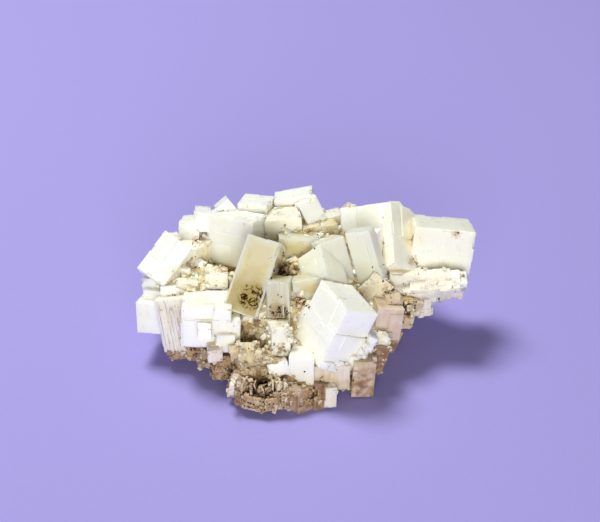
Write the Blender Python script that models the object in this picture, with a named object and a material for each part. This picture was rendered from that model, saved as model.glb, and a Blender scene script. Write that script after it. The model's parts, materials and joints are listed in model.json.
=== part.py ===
"""Halite crystal cluster: one intergrown solid of cubic salt crystals.

A lumpy mass of matrix carries the cubes. The large crystals are placed one by
one, each with its own size and turn. Growth layers step their faces, and small
cubes share the turn of the crystal that they grow on. One block is fluted, the
underside of the right wing is a fan of blades, a druse of little cubes fills the
gaps, and rings of cubes cover the back and the flanks. The mass is cut off flat
underneath, and it rests on that cut.

Lengths in the lists are millimetres and turns are degrees (X, then Y, then Z).
The front looks towards -Y, +X is to the right and +Z is up.
"""
import math
import random

import bmesh
import bpy
from mathutils import Euler, Matrix, Vector, noise

MM = 0.001

# Driving dimensions.
REST_HEIGHT = 0.0            # the flat cut that the cluster rests on
CUTTER_SPAN = 200.0          # larger than the cluster on every side
MATRIX_ROUGHNESS = 3.6       # how far the matrix surface wanders
MATRIX_GRAIN = 5.5           # distance between two swells of that surface
LAYER_STEP = 0.35            # height of a growth layer above the face under it
LAYER_SHARE = (0.55, 0.85)   # edge of a growth layer, as a share of the face
TINY_SHARE = (0.16, 0.32)    # edge of a small cube, as a share of its host's
DRUSE_EDGE = (2.6, 5.5)      # edges of the little cubes in the gaps
WELD = 0.000001              # metres, joins points that a cut left together

# The matrix: ellipsoids as (centre), (half sizes), (little cubes on it).
MATRIX = [
    ((-3, 13, 14.6), (35, 25, 20.5), 70),      # middle
    ((-4, -10, 6), (22, 17, 12), 46),      # front foot, under the hollow
    ((-42, 15, 19), (17, 15, 15), 16),     # left wing
    ((38, 27, 26), (19, 12, 10.5), 14),      # right wing
    ((0, 30, 24.5), (35, 14, 18.5), 20),       # back
]

# Large crystals: (name), (centre), (size), (turn), (small cubes on it).
LARGE = [
    ("front cube", (11.5, -13, 26.5), (15, 20, 23.5), (5, 25, 30), 2),
    ("front cube side", (14.1, -11.2, 22.6), (15, 19.4, 11.5), (5, 25, 30), 3),
    ("front cube base", (9, -12.8, 20.9), (16.8, 22.6, 14.5), (5, 25, 30), 2),
    ("left cube", (-52.5, 23, 28), (12.5, 18, 30), (38, 20, -31), 0),
    ("left back cube", (-44.5, 34, 39.5), (8, 12, 8), (-16, 4, -7), 1),
    ("upper plate", (-26.5, 27.5, 39), (21.5, 10, 20), (-9, -6, -30), 2),
    ("upper plate corner", (-40, 34, 44), (6, 10, 7.5), (-13, 6, 4), 1),
    ("top left cube", (-19, 37, 45), (12, 10, 11), (-6, -4, -16), 0),
    ("top cube", (-3.5, 41.5, 45), (15, 9, 12), (-3, -12, -1), 0),
    ("top right cube", (1.5, 37.5, 46), (8, 10, 10.5), (-21, -18, 26), 1),
    ("upper middle block", (-9, 31, 43.5), (14.5, 10, 9), (-2, -3, 8), 1),
    ("clear pillar", (-19, 5, 35), (13, 14, 29.5), (-40, 10, -18), 1),
    ("honey face", (-3, 25, 37), (15.5, 12, 11), (-7, 4, 3), 1),
    ("cloudy cube", (10.3, 15.1, 36.5), (9.7, 11, 17.5), (-25, -6, 26), 0),
    ("cloudy cube corner", (6.6, 9.1, 35.5), (11, 14.8, 12.5), (35, 33, 34), 0),
    ("cloudy slab", (23.5, 12.5, 40), (10.5, 5, 22.5), (-4, -19, -24), 0),
    ("right cube", (28.5, 34, 33), (20.5, 26, 24.5), (-44, -16, -14), 2),
    ("right cube foot", (35.5, 24.3, 29.6), (11.3, 14, 15.5), (-34, 10, 30), 1),
    ("right cube side", (33.4, 25.7, 38.1), (12.4, 26.1, 14), (42, 32.5, 28), 0),
    ("far right block", (52.4, 28, 36.2), (23.3, 18, 17), (-13, 7, 2), 1),
    ("middle block", (-9.5, -3, 30.5), (8.5, 8, 16.5), (-15, -5, -10), 1),
    ("banded block", (1.5, 1, 28.5), (12, 7, 17.5), (-15, -3, 11), 0),
    ("white ledge", (-37, -4, 22.5), (18.5, 15, 16), (-4, 1, -1), 3),
    ("white ledge side", (-27.3, -7.5, 20.3), (5, 9, 13), (-4, 1, 6), 1),
]

# Smaller crystals between them, by place: (centre), (size), (turn).
SMALL = {
    "under the front cube": [
        ((-0.5, -20, 11.9), (9.5, 12, 14), (-7, -1, -10)),
        ((9, -19, 10), (14, 12, 10.5), (-2, 1, 5)),
        ((21.2, -18.5, 8.2), (8.4, 10, 15.5), (-3, 4, 6)),
        ((15, -16, 7), (9, 10, 9), (-4, 2, 0)),
        ((26, -12.5, 12.5), (6, 10, 11), (-6, 18, 15)),
        ((28.5, -11.5, 18), (5, 6, 4.5), (2, 18, 17)),
    ],
    "front foot": [
        ((-25.5, -22, 5.5), (4, 10, 7), (-14, 4, -17)),
        ((-22.5, -21.5, 8.5), (7, 10, 8), (-16, 2, 3)),
        ((-22, -26.5, 3.5), (5, 8, 6), (-8, 3, -24)),
        ((-18.5, -29.5, 4.5), (7.5, 10, 5.5), (-11, 6, -13)),
        ((-13.5, -30, 4.5), (7, 10, 5), (-10, -4, 11)),
        ((-8, -27.5, 5), (8.5, 10, 8), (-9, 4, 7)),
        ((-2, -28.5, 4), (7, 7, 9), (-8, 6, 38)),
        ((4.3, -26, 4), (4.5, 8, 10), (-12, 8, 19)),
        ((8.7, -26.8, 4.4), (4.2, 7, 8), (-9, 4, 14)),
    ],
    "floor of the hollow": [
        ((-22.5, -17, 13), (8, 10, 11.5), (-43, 10, 14)),
        ((-13, -18.5, 13), (9, 10, 7), (-17, 9, -24)),
        ((-10, -13.5, 21), (7, 10, 11), (-12, 2, 12)),
        ((-10.5, -22, 13.5), (7.5, 9, 5), (-14, -10, 14)),
    ],
    "under the white ledge": [
        ((-30.5, -10.5, 18), (7, 9, 7), (-7, 4, 10)),
        ((-34, -15, 15.5), (5.5, 8, 4.5), (-4, 0, 7)),
        ((-26.5, -18, 17.5), (3.5, 6, 3), (-10, -6, 12)),
        ((-37.5, -14, 24), (5, 5, 6), (-17, 0, 4)),
        ((-31.5, -13.5, 8.5), (7.5, 9, 9), (-10, 7, 8)),
        ((-38, -9.5, 10.5), (5.5, 9, 5.5), (-13, 2, 9)),
    ],
    "behind the white ledge": [
        ((-34, 10, 32), (8.5, 8, 6), (-10, 2, 5)),
        ((-50.5, 8, 27.5), (7.5, 10, 6.5), (-11, -1, -10)),
        ((-45, 8.5, 30), (7.5, 8, 5.5), (-7, 3, 8)),
        ((-42, 25.5, 32.5), (6.5, 8, 10.5), (-15, 5, 12)),
    ],
    "left lobe": [
        ((-57.6, 9, 17.8), (10.2, 16, 12.5), (-11, -4, -13)),
        ((-57.5, 14, 26), (7, 10, 9), (-12, -14, -16)),
        ((-56, 11, 24.5), (8.5, 12, 5.5), (-12, -4, -16)),
        ((-47, 2, 8), (10, 12, 9), (-10, -4, 5)),
        ((-41, -0.5, 9.5), (8.5, 12, 7.5), (-5, -2, 2)),
    ],
    "along the top": [
        ((-31, 37.5, 47), (6, 9, 6), (-25, -33, 24)),
        ((-52, 29.5, 35.5), (6, 9, 6.5), (-13, 2, 14)),
        ((17, 39.5, 45.5), (3.5, 5, 3), (-28, -24, 34)),
        ((11, 38.5, 41), (8, 8, 6), (-11, -4, 19)),
        ((9, 31, 41), (6, 8, 6.5), (-11, -3, 12)),
        ((2, 31.5, 40), (7, 8, 6.5), (-11, -4, 11)),
        ((35.5, 41.5, 42.5), (5, 8, 7), (-13, 6, 8)),
    ],
    "right flank": [
        ((30.5, 1, 20.5), (10, 14, 13), (-8, 9, 7)),
        ((33, 3, 26), (5.5, 8, 6), (-4, 1, 14)),
        ((38, 5, 24), (5, 8, 5), (-2, 9, 13)),
        ((42, 7.5, 23), (4, 8, 4), (3, 13, 13)),
        ((27, 10, 28), (9, 10, 10.5), (-24, 37, -16)),
        ((25.5, 17.5, 37), (8, 12, 18), (-5, -19, -24)),
        ((60, 18.5, 25), (4, 6, 4.5), (-3, 16, 20)),
        ((39, 16.5, 25), (15, 14, 16), (-3, 4, 2)),
        ((53, 21, 25), (16, 14, 10.5), (-2, 5, 3)),
        ((41.5, 10, 20.5), (12, 9, 7.5), (-9, 4, 14)),
        ((36, 4, 18.5), (9, 9, 6), (-6, 12, 12)),
    ],
}

# The fluted block: ribs side by side across one crystal.
FLUTED = ((-47, 4.5, 17.6), (14, 16, 21.5), (-11, -12, -11))
RIB_COUNT = 6
RIB_DEPTH = (0.4, 1.8)       # how far a rib stands out of its block

# The fan: blades that spread from one point under the right wing.
FAN_ROOT = (28, 14, 27)
FAN_REACH = (22, 34)         # length of the shortest and of the longest blade
FAN_ANGLES = (-12, 6)       # slope of the first and of the last blade
FAN_BLADES = 6

# Rings of cubes around the back: (height), (half width, half depth), (angles), (edges).
RINGS = [
    (7, (34, 27), range(0, 181, 18), (9, 15)),
    (20, (43, 31), range(15, 181, 15), (10, 16)),
    (32, (44, 31), range(20, 171, 15), (9, 15)),
]
RING_CENTRE = (-4, 12)


def principled(name, colour, roughness):
    """A plain dielectric material of one colour."""
    material = bpy.data.materials.new(name)
    material.use_nodes = True
    shader = material.node_tree.nodes["Principled BSDF"]
    shader.inputs["Base Color"].default_value = (*colour, 1.0)
    shader.inputs["Roughness"].default_value = roughness
    shader.inputs["Metallic"].default_value = 0.0
    return material


def mesh_object(name, bm, collection):
    """Turn a bmesh into an object of its own."""
    mesh = bpy.data.meshes.new(name)
    bm.to_mesh(mesh)
    bm.free()
    piece = bpy.data.objects.new(name, mesh)
    collection.objects.link(piece)
    return piece


def placed(centre, turn):
    """The matrix that turns a shape about its middle and moves it to its place."""
    angles = Euler([math.radians(a) for a in turn], "XYZ")
    return Matrix.Translation(Vector(centre) * MM) @ angles.to_matrix().to_4x4()


def crystal(collection, name, centre, size, turn):
    """One cubic crystal, a box with its own three edge lengths."""
    bm = bmesh.new()
    bmesh.ops.create_cube(bm, size=1.0)
    bmesh.ops.scale(bm, vec=Vector(size) * MM, verts=bm.verts)
    bmesh.ops.transform(bm, matrix=placed(centre, turn), verts=bm.verts)
    return mesh_object(name, bm, collection)


def matrix_lump(collection, name, centre, half_sizes):
    """One rough ellipsoid of the matrix that the crystals grow on."""
    bm = bmesh.new()
    bmesh.ops.create_icosphere(bm, subdivisions=3, radius=1.0)
    for vert in bm.verts:
        place = Vector(c * h for c, h in zip(vert.co, half_sizes)) + Vector(centre)
        swell = noise.noise(place / MATRIX_GRAIN) * MATRIX_ROUGHNESS
        vert.co = (place + vert.co.normalized() * swell) * MM
    return mesh_object(name, bm, collection)


def growth_layer_on(collection, host, centre, size, turn):
    """A last layer on the largest pair of faces, smaller than the face under it."""
    rng = random.Random(f"{host} layer")
    axis = size.index(min(size))
    layer = [s * rng.uniform(*LAYER_SHARE) for s in size]
    offset = Vector(0.4 * (s - l) * rng.choice((-1, 1)) for s, l in zip(size, layer))
    layer[axis] = size[axis] + 2 * LAYER_STEP
    offset[axis] = 0.0
    middle = Vector(centre) + placed((0, 0, 0), turn) @ offset
    crystal(collection, f"{host} layer", middle, layer, turn)


def small_cubes_on(collection, host, centre, size, turn, count):
    """Small cubes that straddle the edges of a crystal, in the host's own turn."""
    rng = random.Random(f"{host} cubes")
    rotation = placed((0, 0, 0), turn)
    for number in range(count):
        edge = min(size) * rng.uniform(*TINY_SHARE)
        along, across = rng.sample((0, 1, 2), 2)
        local = Vector(0.5 * s * rng.choice((-1, 1)) for s in size)
        local[along] *= rng.uniform(-0.9, 0.9)
        local[across] *= rng.uniform(0.6, 0.95)
        tiny = [edge * rng.uniform(0.7, 1.3) for _ in range(3)]
        crystal(collection, f"{host} {number}", Vector(centre) + rotation @ local, tiny, turn)


def druse_on(collection, name, centre, half_sizes, count):
    """Little cubes with every turn, half sunk in the front of a lump of matrix."""
    rng = random.Random(name)
    for number in range(count):
        out = Vector(rng.gauss(0, 1) for _ in range(3)).normalized()
        out.y = -abs(out.y)
        spot = Vector(o * h for o, h in zip(out, half_sizes)) + Vector(centre)
        size = [rng.uniform(*DRUSE_EDGE) for _ in range(3)]
        turn = [rng.uniform(0, 90) for _ in range(3)]
        crystal(collection, f"{name} {number}", spot, size, turn)


def fluted_block(collection, centre, size, turn):
    """A crystal whose front is a row of long ribs of uneven height."""
    rng = random.Random("fluted block")
    crystal(collection, "fluted block", centre, size, turn)
    rotation = placed((0, 0, 0), turn)
    width = size[0] / RIB_COUNT
    for number in range(RIB_COUNT):
        depth = rng.uniform(*RIB_DEPTH)
        height = size[2] * rng.uniform(0.7, 1.0)
        along = (number + 0.5) * width - size[0] / 2
        local = Vector((along, -size[1] / 2, (size[2] - height) * rng.uniform(-0.5, 0.5)))
        rib = (width * rng.uniform(0.55, 0.8), 2 * depth, height)
        crystal(collection, f"rib {number}", Vector(centre) + rotation @ local, rib, turn)


def fan_of_blades(collection):
    """Long thin crystals that spread to the right from one root."""
    rng = random.Random("fan of blades")
    for number in range(FAN_BLADES):
        share = number / (FAN_BLADES - 1)
        slope = FAN_ANGLES[0] + share * (FAN_ANGLES[1] - FAN_ANGLES[0])
        length = FAN_REACH[0] + share * (FAN_REACH[1] - FAN_REACH[0])
        turn = (rng.uniform(10, 50), -slope, rng.uniform(-6, 6))
        middle = placed((0, 0, 0), turn) @ Vector((length / 2, 0, 0))
        root = Vector(FAN_ROOT) + Vector((0, -2 * share, -1.5 + 1.5 * share))
        crystal(collection, f"blade {number}", root + middle, (length, 7, 4), turn)


def ring_of_cubes(collection, level, reach, angles, edge):
    """Cubes side by side around the back of the cluster at one height."""
    rng = random.Random(f"ring {level}")
    for number, angle in enumerate(angles):
        around = math.radians(angle + rng.uniform(-4, 4))
        x = RING_CENTRE[0] + reach[0] * math.cos(around)
        y = RING_CENTRE[1] + reach[1] * math.sin(around)
        z = level + rng.uniform(-3, 3)
        size = [rng.uniform(*edge) for _ in range(3)]
        turn = [rng.uniform(-24, 24), rng.uniform(-24, 24), angle + rng.uniform(-30, 30)]
        crystal(collection, f"ring {level} {number}", (x, y, z), size, turn)


def keep_outer_skin(bm):
    """Delete the walls of pockets that the crystals closed in between them."""
    unseen = set(bm.verts)
    islands = []
    while unseen:
        stack = [unseen.pop()]
        island = set(stack)
        while stack:
            vert = stack.pop()
            for edge in vert.link_edges:
                other = edge.other_vert(vert)
                if other in unseen:
                    unseen.discard(other)
                    island.add(other)
                    stack.append(other)
        islands.append(island)
    islands.sort(key=len)
    inner = [vert for island in islands[:-1] for vert in island]
    bmesh.ops.delete(bm, geom=inner, context="VERTS")
    return len(islands) - 1


def apply_boolean(target, operation, collection):
    """Join or cut the target with everything in a collection."""
    modifier = target.modifiers.new(operation.lower(), "BOOLEAN")
    modifier.operation = operation
    modifier.operand_type = "COLLECTION"
    modifier.collection = collection
    modifier.solver = "EXACT"
    graph = bpy.context.evaluated_depsgraph_get()
    result = bpy.data.meshes.new_from_object(target.evaluated_get(graph))
    target.modifiers.clear()
    target.data = result


def remove_all(objects):
    """Take objects out of the file."""
    for item in list(objects):
        bpy.data.objects.remove(item, do_unlink=True)


def grow(growth):
    """Place every lump and crystal, each still a body of its own."""
    for number, (centre, half_sizes, cubes) in enumerate(MATRIX):
        if number > 0:
            matrix_lump(growth, f"matrix {number}", centre, half_sizes)
        druse_on(growth, f"druse {number}", centre, half_sizes, cubes)
    for name, centre, size, turn, count in LARGE:
        crystal(growth, name, centre, size, turn)
        growth_layer_on(growth, name, centre, size, turn)
        small_cubes_on(growth, name, centre, size, turn, count)
    for place, rows in SMALL.items():
        for number, (centre, size, turn) in enumerate(rows):
            crystal(growth, f"{place} {number}", centre, size, turn)
    fluted_block(growth, *FLUTED)
    fan_of_blades(growth)
    for level, reach, angles, edge in RINGS:
        ring_of_cubes(growth, level, reach, angles, edge)


def clean_up(mesh):
    """Weld, drop closed-in pockets and make every face a triangle."""
    bm = bmesh.new()
    bm.from_mesh(mesh)
    bmesh.ops.remove_doubles(bm, verts=bm.verts, dist=WELD)
    bmesh.ops.dissolve_degenerate(bm, dist=WELD, edges=bm.edges)
    pockets = keep_outer_skin(bm)
    bmesh.ops.triangulate(bm, faces=bm.faces)
    open_edges = sum(1 for edge in bm.edges if not edge.is_manifold)
    print(f"{len(bm.faces)} triangles, {pockets} pockets filled, {open_edges} open edges")
    bm.to_mesh(mesh)
    bm.free()


def build():
    """Grow the crystals together, cut the rest face and name the result."""
    remove_all(bpy.data.objects)
    scene = bpy.context.scene
    growth = bpy.data.collections.new("growth")
    below = bpy.data.collections.new("below")
    scene.collection.children.link(growth)
    scene.collection.children.link(below)

    grow(growth)
    cluster = matrix_lump(scene.collection, "halite_cluster", *MATRIX[0][:2])
    apply_boolean(cluster, "UNION", growth)
    remove_all(growth.objects)

    low = (0, 0, REST_HEIGHT - CUTTER_SPAN / 2)
    cutter = crystal(below, "ground cutter", low, (CUTTER_SPAN,) * 3, (0, 0, 0))
    cutter.hide_render = True
    cutter.display_type = "WIRE"
    apply_boolean(cluster, "DIFFERENCE", below)
    remove_all(below.objects)

    clean_up(cluster.data)
    cluster.data.materials.clear()
    cluster.data.materials.append(principled("milky salt", (0.90, 0.87, 0.78), 0.35))


build()
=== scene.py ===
# %% [markdown]
# # A cluster of cubic halite crystals
#
# Halite is rock salt. It grows in cubes, and a group like this one is many cubes
# that grew into each other on a crust of muddy salt. Three kinds of salt meet in it:
# milky white crystals full of tiny brine pockets, clearer crystals that are cloudy or
# honey coloured, and the brown matrix with its druse, a fur of little cubes.
#
# The frame is the solid model that the finished piece has to fit. It is loaded
# first.

# %% Open the frame
import json
import math
import random

import bmesh
import bpy
import numpy as np
from mathutils import Euler, Matrix, Vector, noise

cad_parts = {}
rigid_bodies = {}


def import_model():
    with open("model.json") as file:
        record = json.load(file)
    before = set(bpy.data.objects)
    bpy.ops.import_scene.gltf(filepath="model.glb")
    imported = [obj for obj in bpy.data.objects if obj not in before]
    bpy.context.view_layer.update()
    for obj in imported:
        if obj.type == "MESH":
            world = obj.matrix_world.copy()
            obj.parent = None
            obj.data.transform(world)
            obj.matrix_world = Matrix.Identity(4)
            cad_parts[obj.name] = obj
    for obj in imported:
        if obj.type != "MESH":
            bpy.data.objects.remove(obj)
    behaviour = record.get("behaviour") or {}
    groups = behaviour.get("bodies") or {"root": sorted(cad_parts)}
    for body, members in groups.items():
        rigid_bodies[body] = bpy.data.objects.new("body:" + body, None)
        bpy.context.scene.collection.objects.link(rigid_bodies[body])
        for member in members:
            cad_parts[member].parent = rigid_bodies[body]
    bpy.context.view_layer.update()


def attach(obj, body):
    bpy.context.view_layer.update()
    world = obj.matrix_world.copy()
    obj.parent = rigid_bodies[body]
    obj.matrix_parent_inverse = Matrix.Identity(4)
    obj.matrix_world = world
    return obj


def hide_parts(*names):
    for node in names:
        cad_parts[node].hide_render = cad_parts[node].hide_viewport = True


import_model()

# %% [markdown]
# ## Small helpers
#
# Lengths below are written in millimetres, as a collector would measure them, and
# Blender works in metres. Colours are written as the sRGB hex values that a paint
# program shows, and the shader wants them linear. A node tree is easier to read
# when one call makes a node, sets it and links it, so there is one function for that,
# and short ones for the nodes that come back again and again.

# %% Units, colours and nodes
MM = 0.001


def linear(hex_colour):
    """The linear colour, with alpha, of an sRGB hex value."""
    parts = [int(hex_colour[i:i + 2], 16) / 255 for i in (1, 3, 5)]
    return tuple(c / 12.92 if c <= 0.04045 else ((c + 0.055) / 1.055) ** 2.4 for c in parts) + (1.0,)


def add(tree, kind, inputs=None, **settings):
    """Add a node. Settings are its own values, inputs are constants or sockets to link."""
    made = tree.nodes.new(kind)
    for name, value in settings.items():
        setattr(made, name, value)
    for name, value in (inputs or {}).items():
        if isinstance(value, bpy.types.NodeSocket):
            tree.links.new(value, made.inputs[name])
        else:
            made.inputs[name].default_value = value
    return made


def mesh_from(name, bm):
    """A mesh made from a bmesh, which is freed."""
    mesh = bpy.data.meshes.new(name)
    bm.to_mesh(mesh)
    bm.free()
    return mesh


def link_object(name, mesh, collection=None):
    """A new object for a mesh, at the origin."""
    piece = bpy.data.objects.new(name, mesh)
    (collection or bpy.context.scene.collection).objects.link(piece)
    return piece


def evaluated_mesh(piece):
    """The plain mesh that an object's modifiers make."""
    graph = bpy.context.evaluated_depsgraph_get()
    return bpy.data.meshes.new_from_object(piece.evaluated_get(graph))


def noise_at(tree, place, size_mm, **inputs):
    """A noise texture whose swells have a real size."""
    values = {"Vector": place, "Scale": 1 / (size_mm * MM)}
    values.update(inputs)
    return add(tree, "ShaderNodeTexNoise", values).outputs["Fac"]


def ramp(tree, value, low, high, to_low=0.0, to_high=1.0):
    """Carry a value from one range to another, with soft ends, and hold it past them."""
    return add(tree, "ShaderNodeMapRange", {
        "Value": value, "From Min": low, "From Max": high, "To Min": to_low, "To Max": to_high,
    }, interpolation_type="SMOOTHSTEP").outputs[0]


def mix(tree, share, first, second):
    """Mix two colours."""
    made = add(tree, "ShaderNodeMix", data_type="RGBA")
    for socket, value in ((made.inputs[0], share), (made.inputs[6], first), (made.inputs[7], second)):
        if isinstance(value, bpy.types.NodeSocket):
            tree.links.new(value, socket)
        else:
            socket.default_value = value
    return made.outputs[2]


def maths(tree, operation, first, second=None, **settings):
    """One step of arithmetic."""
    inputs = {0: first}
    if second is not None:
        inputs[1] = second
    return add(tree, "ShaderNodeMath", inputs, operation=operation, **settings).outputs[0]


def product(tree, first, second):
    """Two values multiplied."""
    return maths(tree, "MULTIPLY", first, second)


def height_of(tree, place):
    """The height of each point above the floor."""
    return add(tree, "ShaderNodeSeparateXYZ", {0: place}).outputs["Z"]


print("white salt in linear values", [round(c, 3) for c in linear("#FBF9F1")])

# %% [markdown]
# ## Where the crystals are
#
# Each large crystal is a box with its own centre, size and turn about X, Y and Z, in
# millimetres and degrees. The number after them says how many small cubes straddle its
# edges, and the word names its look. The rows follow the frame's own crystals,
# because the finished skin has to sit on that solid. A few ragged cubes of three or
# four millimetres under the front cube are added here alone.

# %% The large crystals
LARGE = [
    ("front cube", (11.5, -13, 26.5), (15, 20, 23.5), (5, 25, 30), 0, "white"),
    ("front cube side", (14.1, -11.2, 22.6), (15, 19.4, 11.5), (5, 25, 30), 3, "white"),
    ("front cube base", (9, -12.8, 20.9), (16.8, 22.6, 14.5), (5, 25, 30), 2, "white"),
    ("left cube", (-52.5, 23, 28), (12.5, 18, 30), (38, 20, -31), 0, "white"),
    ("left back cube", (-44.5, 34, 39.5), (8, 12, 8), (-16, 4, -7), 1, "white"),
    ("upper plate", (-26.5, 27.5, 39), (21.5, 10, 20), (-9, -6, -30), 2, "white"),
    ("upper plate corner", (-40, 34, 44), (6, 10, 7.5), (-13, 6, 4), 1, "white"),
    ("top left cube", (-19, 37, 45), (12, 10, 11), (-6, -4, -16), 0, "white"),
    ("top cube", (-3.5, 41.5, 45), (15, 9, 12), (-3, -12, -1), 0, "white"),
    ("top right cube", (1.5, 37.5, 46), (8, 10, 10.5), (-21, -18, 26), 1, "white"),
    ("upper middle block", (-9, 31, 43.5), (14.5, 10, 9), (-2, -3, 8), 1, "cream"),
    ("clear pillar", (-19, 5, 35), (13, 14, 29.5), (-40, 10, -18), 1, "clear"),
    ("honey face", (-3, 25, 37), (15.5, 12, 11), (-7, 4, 3), 1, "clear"),
    ("cloudy cube", (10.3, 15.1, 36.5), (9.7, 11, 17.5), (-25, -6, 26), 0, "cloudy"),
    ("cloudy cube corner", (6.6, 9.1, 35.5), (11, 14.8, 12.5), (35, 33, 34), 0, "cloudy"),
    ("cloudy slab", (23.5, 12.5, 40), (10.5, 5, 22.5), (-4, -19, -24), 0, "cloudy"),
    ("right cube", (28.5, 34, 33), (20.5, 26, 24.5), (-44, -16, -14), 2, "white"),
    ("right cube foot", (35.5, 24.3, 29.6), (11.3, 14, 15.5), (-34, 10, 30), 1, "cream"),
    ("right cube side", (33.4, 25.7, 38.1), (12.4, 26.1, 14), (42, 32.5, 28), 0, "creamy"),
    ("far right block", (52.4, 28, 36.2), (23.3, 18, 17), (-13, 7, 2), 1, "creamy"),
    ("middle block", (-9.5, -3, 30.5), (8.5, 8, 16.5), (-15, -5, -10), 1, "clear"),
    ("banded block", (1.5, 1, 28.5), (12, 7, 17.5), (-15, -3, 11), 0, "clear"),
    ("white ledge", (-37, -4, 22.5), (18.5, 15, 16), (-4, 1, -1), 3, "white"),
    ("white ledge side", (-27.3, -7.5, 20.3), (5, 9, 13), (-4, 1, 6), 1, "white"),
]

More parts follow.
